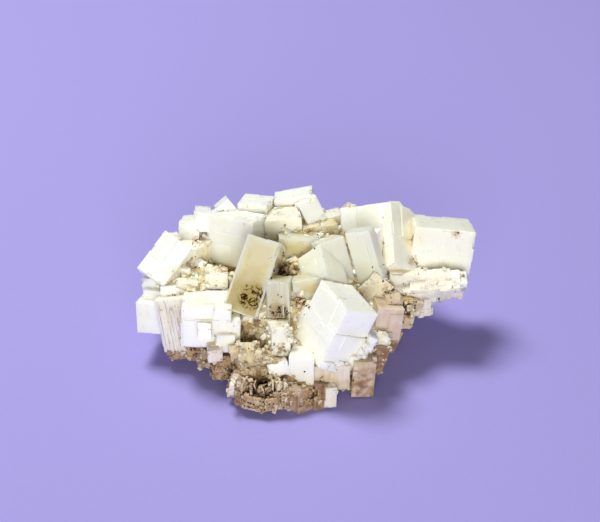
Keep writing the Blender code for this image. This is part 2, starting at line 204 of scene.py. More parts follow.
# %% The smaller crystals between them
SMALL = {
    "under the front cube": [
        ((-0.5, -20, 11.9), (9.5, 12, 14), (-7, -1, -10), "white"),
        ((9, -19, 10), (14, 12, 10.5), (-2, 1, 5), "pink"),
        ((21.2, -18.5, 8.2), (8.4, 10, 15.5), (-3, 4, 6), "tan"),
        ((15, -16, 7), (9, 10, 9), (-4, 2, 0), "brown"),
        ((26, -12.5, 12.5), (6, 10, 11), (-6, 18, 15), "brown"),
        ((28.5, -11.5, 18), (5, 6, 4.5), (2, 18, 17), "cream"),
    ],
    "ragged foot of the front cube": [
        ((6.6, -25.4, 17.6), (3.4, 4, 3), (2, 20, 12), "white"),
        ((9.4, -24, 15.8), (4, 4, 3.4), (8, 28, 40), "white"),
        ((12.2, -22.4, 14.8), (3.4, 4, 4), (0, 18, 22), "white"),
        ((15.1, -20.8, 14), (4.2, 4, 3.2), (10, 30, 30), "white"),
        ((18, -20, 15.4), (4, 4, 4.2), (4, 22, 8), "white"),
        ((20.6, -19.4, 18.2), (4, 4, 3.6), (5, 25, 44), "white"),
        ((22.6, -18.8, 20.8), (3.8, 4, 4), (12, 20, 26), "white"),
        ((24.2, -18, 23.4), (3.6, 4, 3.4), (2, 30, 15), "white"),
        ((-4.6, -12, 17.6), (3.4, 4, 3), (4, 16, 24), "white"),
    ],
    "front foot": [
        ((-25.5, -22, 5.5), (4, 10, 7), (-14, 4, -17), "muddy pink"),
        ((-22.5, -21.5, 8.5), (7, 10, 8), (-16, 2, 3), "muddy tan"),
        ((-22, -26.5, 3.5), (5, 8, 6), (-8, 3, -24), "muddy tan"),
        ((-18.5, -29.5, 4.5), (7.5, 10, 5.5), (-11, 6, -13), "muddy pink"),
        ((-13.5, -30, 4.5), (7, 10, 5), (-10, -4, 11), "muddy tan"),
        ((-8, -27.5, 5), (8.5, 10, 8), (-9, 4, 7), "muddy pink"),
        ((-2, -28.5, 4), (7, 7, 9), (-8, 6, 38), "muddy pink"),
        ((4.3, -26, 4), (4.5, 8, 10), (-12, 8, 19), "brown"),
        ((8.7, -26.8, 4.4), (4.2, 7, 8), (-9, 4, 14), "white"),
    ],
    "floor of the hollow": [
        ((-22.5, -17, 13), (8, 10, 11.5), (-43, 10, 14), "rubble"),
        ((-13, -18.5, 13), (9, 10, 7), (-17, 9, -24), "rubble"),
        ((-10, -13.5, 21), (7, 10, 11), (-12, 2, 12), "rough cream"),
        ((-10.5, -22, 13.5), (7.5, 9, 5), (-14, -10, 14), "white"),
    ],
    "under the white ledge": [
        ((-30.5, -10.5, 18), (7, 9, 7), (-7, 4, 10), "white"),
        ((-34, -15, 15.5), (5.5, 8, 4.5), (-4, 0, 7), "pink"),
        ((-26.5, -18, 17.5), (3.5, 6, 3), (-10, -6, 12), "tan"),
        ((-37.5, -14, 24), (5, 5, 6), (-17, 0, 4), "white"),
        ((-31.5, -13.5, 8.5), (7.5, 9, 9), (-10, 7, 8), "muddy tan"),
        ((-38, -9.5, 10.5), (5.5, 9, 5.5), (-13, 2, 9), "muddy tan"),
    ],
    "behind the white ledge": [
        ((-34, 10, 32), (8.5, 8, 6), (-10, 2, 5), "cream"),
        ((-50.5, 8, 27.5), (7.5, 10, 6.5), (-11, -1, -10), "white"),
        ((-45, 8.5, 30), (7.5, 8, 5.5), (-7, 3, 8), "cream"),
        ((-42, 25.5, 32.5), (6.5, 8, 10.5), (-15, 5, 12), "honey"),
    ],
    "left lobe": [
        ((-57.6, 9, 17.8), (10.2, 16, 12.5), (-11, -4, -13), "white"),
        ((-57.5, 14, 26), (7, 10, 9), (-12, -14, -16), "white"),
        ((-56, 11, 24.5), (8.5, 12, 5.5), (-12, -4, -16), "white"),
        ((-47, 2, 8), (10, 12, 9), (-10, -4, 5), "brown"),
        ((-41, -0.5, 9.5), (8.5, 12, 7.5), (-5, -2, 2), "muddy tan"),
    ],
    "along the top": [
        ((-31, 37.5, 47), (6, 9, 6), (-25, -33, 24), "white"),
        ((-52, 29.5, 35.5), (6, 9, 6.5), (-13, 2, 14), "white"),
        ((17, 39.5, 45.5), (3.5, 5, 3), (-28, -24, 34), "tan"),
        ((11, 38.5, 41), (8, 8, 6), (-11, -4, 19), "cream"),
        ((9, 31, 41), (6, 8, 6.5), (-11, -3, 12), "honey"),
        ((2, 31.5, 40), (7, 8, 6.5), (-11, -4, 11), "honey"),
        ((35.5, 41.5, 42.5), (5, 8, 7), (-13, 6, 8), "white"),
    ],
    "right flank": [
        ((30.5, 1, 20.5), (10, 14, 13), (-8, 9, 7), "tan"),
        ((33, 3, 26), (5.5, 8, 6), (-4, 1, 14), "tan"),
        ((38, 5, 24), (5, 8, 5), (-2, 9, 13), "tan"),
        ((42, 7.5, 23), (4, 8, 4), (3, 13, 13), "tan"),
        ((27, 10, 28), (9, 10, 10.5), (-24, 37, -16), "honey"),
        ((25.5, 17.5, 37), (8, 12, 18), (-5, -19, -24), "white"),
        ((60, 18.5, 25), (4, 6, 4.5), (-3, 16, 20), "cream"),
        ((39, 16.5, 25), (15, 14, 16), (-3, 4, 2), "cream"),
        ((53, 21, 25), (16, 14, 10.5), (-2, 5, 3), "pink"),
        ((41.5, 10, 20.5), (12, 9, 7.5), (-9, 4, 14), "pink"),
        ((36, 4, 18.5), (9, 9, 6), (-6, 12, 12), "tan"),
    ],
}
print(len(LARGE), "large crystals,", sum(len(rows) for rows in SMALL.values()), "smaller ones")

# %% [markdown]
# ## One halite crystal
#
# A halite cube is never a plain box. Each face grew in layers that spread from a
# corner, so it carries flat plates two or three tenths of a millimetre high, and the
# edges break along the same three directions, which leaves small square notches.
#
# A crystal could be carved with Booleans, one cut at a time. It is quicker to see it
# as salt in an uneven grid: the plates' and notches' own planes cut space into
# cells, each cell is salt or air, and the walls between the two are the crystal. A
# narrow bevel then gives every edge the thin line of light that salt has.

# %% A crystal as cells of salt
GRID = 0.15                  # mm, every plane of a crystal lies on this pitch
PLATE_SHARE = (0.3, 0.85)    # a plate's width as a share of its face
PLATE_STEPS = (1, 2)         # a plate's height in grid pitches
CHIP_LENGTH = (0.05, 0.3)    # a notch's length as a share of its edge
CHIP_DEPTH = (0.3, 1.2)      # mm
EDGE_BEVEL = 0.07            # mm
PAST_THE_FACE = 1.0          # mm, how far a notch's box reaches out of the crystal
TRIES = 12                   # how often a crystal with touching corners is drawn again
FEWER = 0.8                  # the share of plates and notches that each new try keeps
FLAT = 0.01                  # rad, walls of cells that meet at less become one face


def snap(value):
    """The nearest plane of the grid."""
    return round(value / GRID) * GRID


def salt_boxes(size, plates, chips, rng):
    """The boxes that make one crystal, in order: low corner, high corner, salt or air."""
    full = [snap(s) for s in size]
    boxes = [([0.0] * 3, full, True)]
    for _ in range(plates):
        axis = rng.randrange(3)
        low, high = [], []
        for k in range(3):
            width = snap(full[k] * rng.uniform(*PLATE_SHARE))
            start = rng.choice((0.0, full[k] - width))
            low.append(start)
            high.append(start + width)
        rise = rng.randint(*PLATE_STEPS) * GRID
        low[axis], high[axis] = rng.choice(((-rise, full[axis]), (0.0, full[axis] + rise)))
        boxes.append((low, high, True))
    for _ in range(chips):
        along = rng.randrange(3)
        low, high = [], []
        for k in range(3):
            if k == along:
                length = max(GRID, snap(full[k] * rng.uniform(*CHIP_LENGTH)))
                start = snap(rng.uniform(-length / 2, full[k] - length / 2))
                low.append(start)
                high.append(start + length)
            else:
                depth = max(GRID, snap(rng.uniform(*CHIP_DEPTH)))
                near = (-PAST_THE_FACE, depth)
                far = (full[k] - depth, full[k] + PAST_THE_FACE)
                side = rng.choice((near, far))
                low.append(side[0])
                high.append(side[1])
        boxes.append((low, high, False))
    middle = Vector(full) / 2
    return [(Vector(low) - middle, Vector(high) - middle, salt) for low, high, salt in boxes]


def cell_mesh(boxes):
    """The walls between salt and air, as one mesh."""
    solid = [box for box in boxes if box[2]]
    cuts = []
    for k in range(3):
        planes = {round(corner[k], 4) for box in boxes for corner in box[:2]}
        low = min(round(box[0][k], 4) for box in solid)
        high = max(round(box[1][k], 4) for box in solid)
        cuts.append(np.array(sorted(p for p in planes if low <= p <= high)))
    middles = [(c[1:] + c[:-1]) / 2 for c in cuts]
    filled = np.zeros([len(m) for m in middles], bool)
    for low, high, salt in boxes:
        inside = [(m > low[k]) & (m < high[k]) for k, m in enumerate(middles)]
        filled[np.ix_(*inside)] = salt
    padded = np.pad(filled, 1).astype(np.int8)
    bm = bmesh.new()
    corners = {}

    def corner(spot):
        if spot not in corners:
            corners[spot] = bm.verts.new([cuts[k][spot[k]] for k in range(3)])
        return corners[spot]

    for axis in range(3):
        others = [k for k in range(3) if k != axis]
        for place in np.argwhere(np.diff(padded, axis=axis)):
            ring = []
            for a, b in ((0, 0), (1, 0), (1, 1), (0, 1)):
                spot = [0, 0, 0]
                spot[axis] = int(place[axis])
                spot[others[0]] = int(place[others[0]]) - 1 + a
                spot[others[1]] = int(place[others[1]]) - 1 + b
                ring.append(corner(tuple(spot)))
            bm.faces.new(ring)
    return bm


def stepped_crystal(size, plates, chips, rng):
    """One crystal with plates and notches, bevelled, in its own frame and in mm."""
    for _ in range(TRIES):
        bm = cell_mesh(salt_boxes(size, plates, chips, rng))
        if all(edge.is_manifold for edge in bm.edges) and all(v.is_manifold for v in bm.verts):
            break
        bm.free()
        plates, chips = int(plates * FEWER), int(chips * FEWER)
    bmesh.ops.recalc_face_normals(bm, faces=bm.faces)
    bmesh.ops.dissolve_limit(bm, angle_limit=FLAT, verts=bm.verts, edges=bm.edges)
    bmesh.ops.bevel(bm, geom=bm.edges[:], offset=EDGE_BEVEL, segments=1, affect="EDGES", clamp_overlap=True)
    return bm


trial = stepped_crystal((15, 20, 23.5), 6, 10, random.Random(1))
print("a trial crystal has", len(trial.faces), "faces")
trial.free()

# %% [markdown]
# ## Growing the crystals in place
#
# Each crystal carries three notes for its material on the corners of its faces: where
# a point lies in the crystal's own frame, how large the crystal is, and its tint. The
# growth lines and the whiter edges, partly wear and partly a painted glow, can then
# follow each cube, whichever way it is turned. Two notes for each face say which
# crystal it belongs to, and how much loose salt lies on it.

# %% Place a crystal
TINTS = {                     # (mud stain, honey, streaks), and how much loose salt lies on it
    "white": ((0.0, 0.0, 0.0), 0.0),
    "creamy": ((0.0, 0.3, 0.0), 0.0),
    "cream": ((0.05, 0.4, 0.2), 0.1),
    "honey": ((0.03, 1.5, 0.1), 0.1),
    "pink": ((0.4, 0.15, 0.5), 0.0),
    "tan": ((0.7, 0.4, 0.4), 0.0),
    "muddy pink": ((0.75, 0.3, 0.5), 0.35),
    "muddy tan": ((0.95, 0.6, 0.5), 0.4),
    "brown": ((1.0, 0.8, 0.6), 0.3),
    "rough cream": ((0.05, 0.35, 0.2), 0.6),
    "rubble": ((0.3, 1.0, 0.3), 0.6),
    "fluted": ((0.1, 0.3, 0.6), 0.0),
    "crumbly": ((0.15, 0.05, 0.3), 0.12),
    "ridge": ((0.4, 0.35, 0.5), 0.2),
    "clear": ((0.0, 1.0, 0.0), 0.0),
    "cloudy": ((0.0, 0.15, 0.0), 0.0),
}
crystal_count = 0


def placed(centre, turn):
    """The matrix that turns a shape about its middle and moves it to its place."""
    angles = Euler([math.radians(a) for a in turn], "XYZ")
    return Matrix.Translation(Vector(centre) * MM) @ angles.to_matrix().to_4x4()


def write_notes(bm, size, tint, number):
    """Keep each corner's place in the crystal, the crystal's size and its tint."""
    local = bm.loops.layers.float_vector.new("local")
    half = bm.loops.layers.float_vector.new("half")
    look = bm.loops.layers.float_vector.new("look")
    owner = bm.faces.layers.int.new("crystal")
    loose = bm.faces.layers.float.new("loose salt")
    tint, loose_salt = tint
    for face in bm.faces:
        face[owner] = number
        face[loose] = loose_salt
        for loop in face.loops:
            loop[local] = loop.vert.co
            loop[half] = Vector(size) / 2
            loop[look] = Vector(tint)


def crystal(collection, name, centre, size, turn, look, plates=3, chips=5, same=False):
    """One crystal with its steps, notches and notes. Growth on it counts as the same one."""
    global crystal_count
    crystal_count += 0 if same else 1
    rng = random.Random(f"{name} steps")
    bm = stepped_crystal(size, plates, chips, rng)
    write_notes(bm, size, TINTS[look], crystal_count)
    bmesh.ops.scale(bm, vec=(MM,) * 3, verts=bm.verts)
    bmesh.ops.transform(bm, matrix=placed(centre, turn), verts=bm.verts)
    return link_object(name, mesh_from(name, bm), collection)


# %% Layers and small cubes on a crystal
LAYER_STEP = 0.35            # mm, how high a last layer stands on the faces under it
LAYER_SHARE = (0.55, 0.85)   # its width as a share of the crystal's
LAYER_SHIFT = 0.4            # how far it is moved, as a share of the width it leaves free
TINY_SHARE = (0.16, 0.32)    # a small cube's edge as a share of its host's shortest side
TINY_SIDES = (0.7, 1.3)      # its sides as shares of that edge
ALONG_EDGE = 0.9             # how far along its host's edge it may lie, 1 is the corner
ACROSS_EDGE = (0.6, 0.95)    # how close to that edge
SMALL_CUBES = {"white": 1, "cream": 3, "rough cream": 8, "honey": 3, "pink": 3, "tan": 5,
               "rubble": 10, "muddy pink": 9, "muddy tan": 10, "brown": 8}


def growth_layer_on(collection, host, centre, size, turn, look):
    """A last layer on the largest pair of faces, smaller than the face under it."""
    rng = random.Random(f"{host} layer")
    axis = size.index(min(size))
    layer = [s * rng.uniform(*LAYER_SHARE) for s in size]
    offset = Vector(LAYER_SHIFT * (s - l) * rng.choice((-1, 1)) for s, l in zip(size, layer))
    layer[axis] = size[axis] + 2 * LAYER_STEP
    offset[axis] = 0.0
    middle = Vector(centre) + placed((0, 0, 0), turn) @ offset
    crystal(collection, f"{host} layer", middle, layer, turn, look, 1, 3, same=True)


def small_cubes_on(collection, host, centre, size, turn, count, look):
    """Small cubes that straddle the edges of a crystal, in the host's own turn."""
    rng = random.Random(f"{host} cubes")
    rotation = placed((0, 0, 0), turn)
    for number in range(count):
        edge = min(size) * rng.uniform(*TINY_SHARE)
        along, across = rng.sample((0, 1, 2), 2)
        local = Vector(0.5 * s * rng.choice((-1, 1)) for s in size)
        local[along] *= rng.uniform(-ALONG_EDGE, ALONG_EDGE)
        local[across] *= rng.uniform(*ACROSS_EDGE)
        tiny = [edge * rng.uniform(*TINY_SIDES) for _ in range(3)]
        middle = Vector(centre) + rotation @ local
        crystal(collection, f"{host} {number}", middle, tiny, turn, look, 1, 2, same=True)


# %% Rings of cubes around the back
RINGS = [                    # height, (reach in X and Y), angles, (smallest and largest edge)
    (7, (34, 27), range(0, 181, 18), (9, 15)),
    (20, (43, 31), range(15, 181, 15), (10, 16)),
    (32, (44, 31), range(20, 171, 15), (9, 15)),
]
RING_CENTRE = (-4, 12)
RING_WOBBLE = 4              # degrees along the ring
RING_RISE = 3                # mm up or down
RING_TILT = 24               # degrees about X and Y
RING_TWIST = 30              # degrees about Z, away from facing outwards
RING_LOOKS = {7: ("tan", "pink", "brown"), 20: ("pink", "cream", "tan"), 32: ("cream", "white", "white")}


def ring_of_cubes(collection, level, reach, angles, edge):
    """Cubes side by side around the back of the cluster at one height."""
    rng = random.Random(f"ring {level}")
    for number, angle in enumerate(angles):
        around = math.radians(angle + rng.uniform(-RING_WOBBLE, RING_WOBBLE))
        x = RING_CENTRE[0] + reach[0] * math.cos(around)
        y = RING_CENTRE[1] + reach[1] * math.sin(around)
        z = level + rng.uniform(-RING_RISE, RING_RISE)
        size = [rng.uniform(*edge) for _ in range(3)]
        turn = [rng.uniform(-RING_TILT, RING_TILT) for _ in range(2)]
        turn.append(angle + rng.uniform(-RING_TWIST, RING_TWIST))
        look = RING_LOOKS[level][number % 3]
        crystal(collection, f"ring {level} {number}", (x, y, z), size, turn, look, 4, 6)


# %% The fluted block and the fan of blades
FLUTED = ((-47, 4.5, 17.6), (14, 16, 21.5), (-11, -12, -11))  # centre, size, turn
RIB_COUNT = 10
RIB_DEPTH = (0.3, 1.0)       # mm
RIB_HEIGHT = (0.7, 1.0)      # as a share of the block's
RIB_WIDTH = (0.75, 1.05)     # as a share of the ribs' pitch
FAN_ROOT = (28, 14, 27)
FAN_REACH = (22, 34)         # mm, the lowest blade and the highest
FAN_ANGLES = (-12, 6)        # degrees, the same two
FAN_ROLL = (10, 50)          # degrees about a blade's own length
FAN_BLADES = 6
BLADE_PART = ((6, 12), (6, 10), (3, 6))   # mm, a part's length, width and height
BLADE_LEAN = 9               # degrees that a part may turn from its blade
BLADE_OVERLAP = (0.45, 0.75)  # where the next part starts, as a share of this one


def fluted_block(collection, centre, size, turn):
    """A crystal whose front is a row of long ribs of uneven height."""
    rng = random.Random("fluted block")
    crystal(collection, "fluted block", centre, size, turn, "fluted", 2, 6)
    rotation = placed((0, 0, 0), turn)
    width = size[0] / RIB_COUNT
    for number in range(RIB_COUNT):
        depth = rng.uniform(*RIB_DEPTH)
        height = size[2] * rng.uniform(*RIB_HEIGHT)
        along = (number + 0.5) * width - size[0] / 2
        local = Vector((along, -size[1] / 2, (size[2] - height) * rng.uniform(-0.5, 0.5)))
        rib = (width * rng.uniform(*RIB_WIDTH), 2 * depth, height)
        middle = Vector(centre) + rotation @ local
        crystal(collection, f"rib {number}", middle, rib, turn, "fluted", 2, 6, same=True)


def broken_blade(collection, name, root, length, turn):
    """A long blade as a chain of stubby crystals that nearly share one direction."""
    rng = random.Random(name)
    reach = 0.0
    part = 0
    while reach < length:
        size = [rng.uniform(*span) for span in BLADE_PART]
        along = min(reach + size[0] / 2, length - size[0] / 2)
        offset = Vector((along, rng.uniform(-1.2, 1.2), rng.uniform(-0.8, 0.8)))
        leaning = [angle + rng.uniform(-BLADE_LEAN, BLADE_LEAN) for angle in turn]
        middle = root + placed((0, 0, 0), turn) @ offset
        crystal(collection, f"{name} {part}", middle, size, leaning, "crumbly", 2, 5, same=part > 0)
        reach += size[0] * rng.uniform(*BLADE_OVERLAP)
        part += 1


def fan_of_blades(collection):
    """Long thin crystals that spread to the right from one root."""
    rng = random.Random("fan of blades")
    for number in range(FAN_BLADES):
        share = number / (FAN_BLADES - 1)
        slope = FAN_ANGLES[0] + share * (FAN_ANGLES[1] - FAN_ANGLES[0])
        length = FAN_REACH[0] + share * (FAN_REACH[1] - FAN_REACH[0])
        turn = (rng.uniform(*FAN_ROLL), -slope, rng.uniform(-6, 6))
        root = Vector(FAN_ROOT) + Vector((0, -2 * share, -1.5 + 1.5 * share))
        broken_blade(collection, f"blade {number}", root, length, turn)


# %% Ridges with slots between them
SLOTTED = [                  # (centre), (length, depth, height), (turn), (ridges)
    ((-23.8, -28.5, 9.5), (8, 4, 6), (-18, 10, 14), 5),
    ((-15.7, -30.4, 8.6), (8.5, 4, 6.5), (-12, -8, -6), 6),
    ((-10.4, -29.4, 11), (6, 4, 5), (-20, 4, 24), 4),
    ((-20.1, -31.6, 5), (7, 4, 5), (-10, -14, -12), 5),
    ((-7.4, -31.4, 6.5), (6, 4, 4.5), (-14, 12, 8), 4),
    ((-14, -32.4, 4), (8, 4, 4.5), (-8, 3, 2), 5),
    ((-44.5, -3.5, 8.5), (6, 4, 5), (-14, 6, -8), 4),
    ((-37.5, -12.5, 9), (6, 4, 4.5), (-10, -6, 10), 4),
    ((37.6, 1, 23.5), (7, 4, 4), (-16, 8, 16), 4),
]
RIDGE_THICK = (0.6, 2.0)     # mm
RIDGE_HEIGHT = (0.4, 1.0)    # as a share of the row's height
RIDGE_LEAN = 22              # degrees
BRIDGE_HEIGHT = (0.8, 2.2)   # mm


def slotted_ridges(collection, name, centre, size, turn, ridges):
    """Thin ridges side by side with open slots, where a crystal grew only at its edges."""
    rng = random.Random(name)
    for number in range(ridges):
        along = ((number + 0.5) / ridges - 0.5) * size[0]
        local = Vector((along, rng.uniform(-1.0, 1.0), rng.uniform(-1.2, 1.2)))
        ridge = (rng.uniform(*RIDGE_THICK), size[1], size[2] * rng.uniform(*RIDGE_HEIGHT))
        leaning = [angle + rng.uniform(-RIDGE_LEAN, RIDGE_LEAN) for angle in turn]
        middle = Vector(centre) + placed((0, 0, 0), turn) @ local
        crystal(collection, f"{name} ridge {number}", middle, ridge, leaning, "ridge", 1, 3, same=number > 0)
        if number % 2:
            bridge = (size[0] / ridges * 1.6, size[1] * 0.7, rng.uniform(*BRIDGE_HEIGHT))
            middle += Vector((0, 0.6, rng.uniform(-0.4, 0.4) * size[2]))
            crystal(collection, f"{name} bridge {number}", middle, bridge, leaning, "ridge", 0, 1, same=True)


# %% [markdown]
# ## Joining what grew together
#
# The milky crystals are one body of salt, so light that enters one of them may leave
# from the next. A Boolean union makes one skin of them all: without it, the hidden
# walls inside would stop the light and draw dark seams. The same goes for the clear
# crystals and for the cloudy ones. Everything is then cut off at the level that the
# cluster rests on.

# %% Grow and join the three kinds of crystal
REST_HEIGHT = 0.0            # mm
CUTTER_SPAN = 200.0          # mm
PLATES_AND_CHIPS = {"milky": (6, 12), "see-through": (3, 6), "small": (4, 8)}


def new_collection(name):
    """An empty collection in the scene."""
    made = bpy.data.collections.new(name)
    bpy.context.scene.collection.children.link(made)
    return made


def joined(name, growth):
    """One mesh of everything in a collection, cut off at the rest height."""
    pieces = list(growth.objects)
    body = pieces[0]
    growth.objects.unlink(body)
    bpy.context.scene.collection.objects.link(body)
    union = body.modifiers.new("union", "BOOLEAN")
    union.operation = "UNION"
    union.operand_type = "COLLECTION"
    union.collection = growth
    union.solver = "EXACT"
    bm = bmesh.new()
    bmesh.ops.create_cube(bm, size=CUTTER_SPAN * MM)
    low = Vector((0, 0, REST_HEIGHT - CUTTER_SPAN / 2)) * MM
    bmesh.ops.translate(bm, vec=low, verts=bm.verts)
    cutter = link_object("ground", mesh_from("ground", bm))
    cut = body.modifiers.new("cut", "BOOLEAN")
    cut.operation = "DIFFERENCE"
    cut.object = cutter
    cut.solver = "EXACT"
    mesh = evaluated_mesh(body)
    for item in pieces + [cutter]:
        bpy.data.objects.remove(item, do_unlink=True)
    mesh.name = name
    print(name, "has", len(mesh.polygons), "faces")
    return link_object(name, mesh)


milky_growth = new_collection("milky growth")
clear_growth = new_collection("clear growth")
cloudy_growth = new_collection("cloudy growth")
growth_of = {"clear": clear_growth, "cloudy": cloudy_growth}
for name, centre, size, turn, count, look in LARGE:
    growth = growth_of.get(look, milky_growth)
    plates, chips = PLATES_AND_CHIPS["milky" if growth is milky_growth else "see-through"]
    crystal(growth, name, centre, size, turn, look, plates, chips)
    growth_layer_on(growth, name, centre, size, turn, look)
    small_cubes_on(growth, name, centre, size, turn, count, look)
for place, rows in SMALL.items():
    for number, (centre, size, turn, look) in enumerate(rows):
        crystal(milky_growth, f"{place} {number}", centre, size, turn, look, *PLATES_AND_CHIPS["small"])
        small_cubes_on(milky_growth, f"{place} {number}", centre, size, turn, SMALL_CUBES[look], look)
fluted_block(milky_growth, *FLUTED)
fan_of_blades(milky_growth)
for number, row in enumerate(SLOTTED):
    slotted_ridges(milky_growth, f"slotted {number}", *row)
for ring in RINGS:
    ring_of_cubes(milky_growth, *ring)
print(crystal_count, "crystals")
milky = joined("milky_crystals", milky_growth)
clear = joined("clear_crystals", clear_growth)
cloudy = joined("cloudy_crystals", cloudy_growth)

# %% [markdown]
# ## The matrix
#
# Under and between the crystals is the crust that they grew on: salt, mud and
# gypsum in a lumpy mass. Ellipsoids give its bulk. A voxel remesh makes one skin of
# them, and three sizes of noise roughen it down to grains of half a millimetre.

# %% Matrix lumps, remeshed and roughened
MATRIX = [                   # (centre), (half lengths along X, Y and Z)
    ((-3, 13, 14.6), (35, 25, 20.5)),
    ((-4, -10, 6), (22, 17, 12)),
    ((-42, 15, 19), (17, 15, 15)),
    ((38, 27, 26), (19, 12, 10.5)),
    ((0, 30, 24.5), (35, 14, 18.5)),
]
VOXEL = 0.9                  # mm
ROUGHNESS = ((5.5, 2.2), (2.2, 0.9), (0.9, 0.4))  # mm: size of a swell, and its height


def matrix_mesh():
    """One rough skin over all the lumps."""
    bm = bmesh.new()
    for centre, half_sizes in MATRIX:
        made = bmesh.ops.create_icosphere(bm, subdivisions=4, radius=MM)
        bmesh.ops.scale(bm, vec=half_sizes, verts=made["verts"])
        bmesh.ops.translate(bm, vec=Vector(centre) * MM, verts=made["verts"])
    lumps = link_object("matrix lumps", mesh_from("matrix lumps", bm))
    remesh = lumps.modifiers.new("skin", "REMESH")
    remesh.mode = "VOXEL"
    remesh.voxel_size = VOXEL * MM
    skin = evaluated_mesh(lumps)
    bpy.data.objects.remove(lumps, do_unlink=True)
    normals = [vert.normal.copy() for vert in skin.vertices]
    for vert, normal in zip(skin.vertices, normals):
        lift = sum(height * noise.noise(vert.co / (grain * MM)) for grain, height in ROUGHNESS)
        vert.co += normal * lift * MM
        vert.co.z = max(vert.co.z, REST_HEIGHT * MM)
    return skin


matrix = link_object("salt_matrix", matrix_mesh())
print("matrix has", len(matrix.data.polygons), "faces")

# %% [markdown]
# ## Where the mud lies
#
# Mud settled where brine stood last: in the hollows between crystals, in the slots of
# the foot, and as moss inside the clear ones. The hole under the upper plate and the
# seam between the two right blocks are darkened partly as painted shadow. Each pocket
# is a ball with its own reach and strength. One function turns them into a depth, for
# the grains and for the colours alike.

# %% Mud pockets
MUD_AND_SHADOW_POCKETS = (                  # (centre), (reach), mm, (strength)
    ((-31, 12, 34), 6, 1.0),     # the hole under the upper plate, mud and painted shadow
    ((-7, 11, 35), 7, 0.9),      # between the pillar and the honey face
    ((-41, 26, 38), 5, 0.4),     # left of the upper plate
    ((-44, 15, 33), 5, 0.35),    # above the fluted block
    ((2, 26, 43), 4, 0.7),       # behind the honey face
    ((-20, -5, 33.5), 7.5, 1.0),  # in the pillar
    ((-2, -5, 31), 5, 0.8),      # in the banded block
    ((-10, -7, 28), 6, 0.9),     # in the middle block
    ((32, 6, 30), 5, 0.8),       # right of the cloudy slab
    ((42.4, 23, 42), 3, 0.7),    # in the seam between the two right blocks, mud and painted shadow
    ((41.4, 16, 36), 4, 0.6),    # lower in that seam, mud and painted shadow
    ((46, 14, 31), 3, 0.6),      # under the far right block
    ((57.7, 20, 45.3), 3.4, 0.75),  # a smear on the far right block
    ((38, 2, 24), 7, 0.85),      # under the right wing
    ((-43, -9, 11), 7, 0.8),     # under the fluted block
    ((-20, -12, 20), 10, 0.2),   # the hollow in the middle
    ((-16, -30, 7), 12, 1.0),    # the front foot
    ((-28, -20, 8), 8, 0.9),     # left of the foot
    ((2, -29, 6), 5, 0.9),       # right of the foot
    ((17, -22, 8), 2.5, 0.9),    # the slot between the two tan blocks
    ((26, -14, 13), 5, 0.9),     # the brown crystal
)


def mud_and_shadow_depth(tree, place):
    """The strength in the middle of a pocket of mud, or of painted shadow, 0 outside them all."""
    deepest = None
    for centre, reach, strength in MUD_AND_SHADOW_POCKETS:
        middle = tuple(c * MM for c in centre)
        apart = add(tree, "ShaderNodeVectorMath", {0: place, 1: middle}, operation="DISTANCE")
        depth = ramp(tree, apart.outputs["Value"], reach * MM, 0.2 * reach * MM, 0.0, strength)
        deepest = depth if deepest is None else maths(tree, "MAXIMUM", deepest, depth)
    return deepest


# %% [markdown]
# ## The druse
#
# Little cubes of half a millimetre to three cover the matrix wherever there was room.
# They are all alike but for size and turn, which is what Geometry Nodes are for:
# points are scattered on the matrix, a bevelled cube is set on each, and a tint is
# drawn for each before they become a mesh. The same tree lays crumbs of loose salt on
# the milky crystals and grains of mud in the pockets, with plain cubes, because they
# are too small to show a bevel.

# %% A grain cube, and how a tree is made and run
GRAIN_BEVEL = 0.06           # mm
QUARTER_TURN = 1.57          # rad
FULL_TURN = 6.28             # rad
LEAN_ON_HOST = 0.25          # rad
SIDES = (0.6, 1.5)           # a cube's sides as shares of its drawn size
MOSTLY_SMALL = 2.4           # the power that makes small cubes many and large ones few


def grain_cube(name, bevel=0.0):
    """A cube of 1 mm that carries the same notes as a crystal."""
    bm = bmesh.new()
    bmesh.ops.create_cube(bm, size=1.0)
    if bevel:
        bmesh.ops.bevel(bm, geom=bm.edges[:], offset=bevel, segments=1, affect="EDGES")
    write_notes(bm, (1, 1, 1), TINTS["white"], 0)
    bmesh.ops.scale(bm, vec=(MM,) * 3, verts=bm.verts)
    return link_object(name, mesh_from(name, bm))


def higher(tree, value, limit):
    """True where a value is above a limit."""
    return add(tree, "FunctionNodeCompare", {0: value, 1: limit},
               data_type="FLOAT", operation="GREATER_THAN").outputs[0]


def both(tree, first, second):
    """True where two conditions hold."""
    return add(tree, "FunctionNodeBooleanMath", {0: first, 1: second}, operation="AND").outputs[0]


def one_or(tree, switch, value):
    """1 while the switch is 0, and the value while it is 1."""
    return add(tree, "ShaderNodeMix", {0: switch, 2: 1.0, 3: value}, data_type="FLOAT").outputs[0]


def random_vector(tree, low, high, seed):
    """A vector drawn for each point."""
    return add(tree, "FunctionNodeRandomValue", {0: low, 1: high, "Seed": seed},
               data_type="FLOAT_VECTOR").outputs[0]


def tree_with_inputs(name, inputs):
    """An empty Geometry Nodes tree with named inputs, and its two end nodes."""
    tree = bpy.data.node_groups.new(name, "GeometryNodeTree")
    tree.interface.new_socket("Geometry", in_out="INPUT", socket_type="NodeSocketGeometry")
    for label, kind in inputs:
        tree.interface.new_socket(label, in_out="INPUT", socket_type=kind)
    tree.interface.new_socket("Geometry", in_out="OUTPUT", socket_type="NodeSocketGeometry")
    return tree, tree.nodes.new("NodeGroupInput"), tree.nodes.new("NodeGroupOutput")


def run_tree(tree, source, name, values):
    """Run a tree on a copy of an object's mesh and keep the result as a plain mesh."""
    carrier = link_object(name, source.data.copy())
    modifier = carrier.modifiers.new(tree.name, "NODES")
    modifier.node_group = tree
    for item in tree.interface.items_tree:
        if item.in_out == "INPUT" and item.name in values:
            modifier[item.identifier] = values[item.name]
    mesh = evaluated_mesh(carrier)
    carrier.modifiers.clear()
    carrier.data = mesh
    return carrier


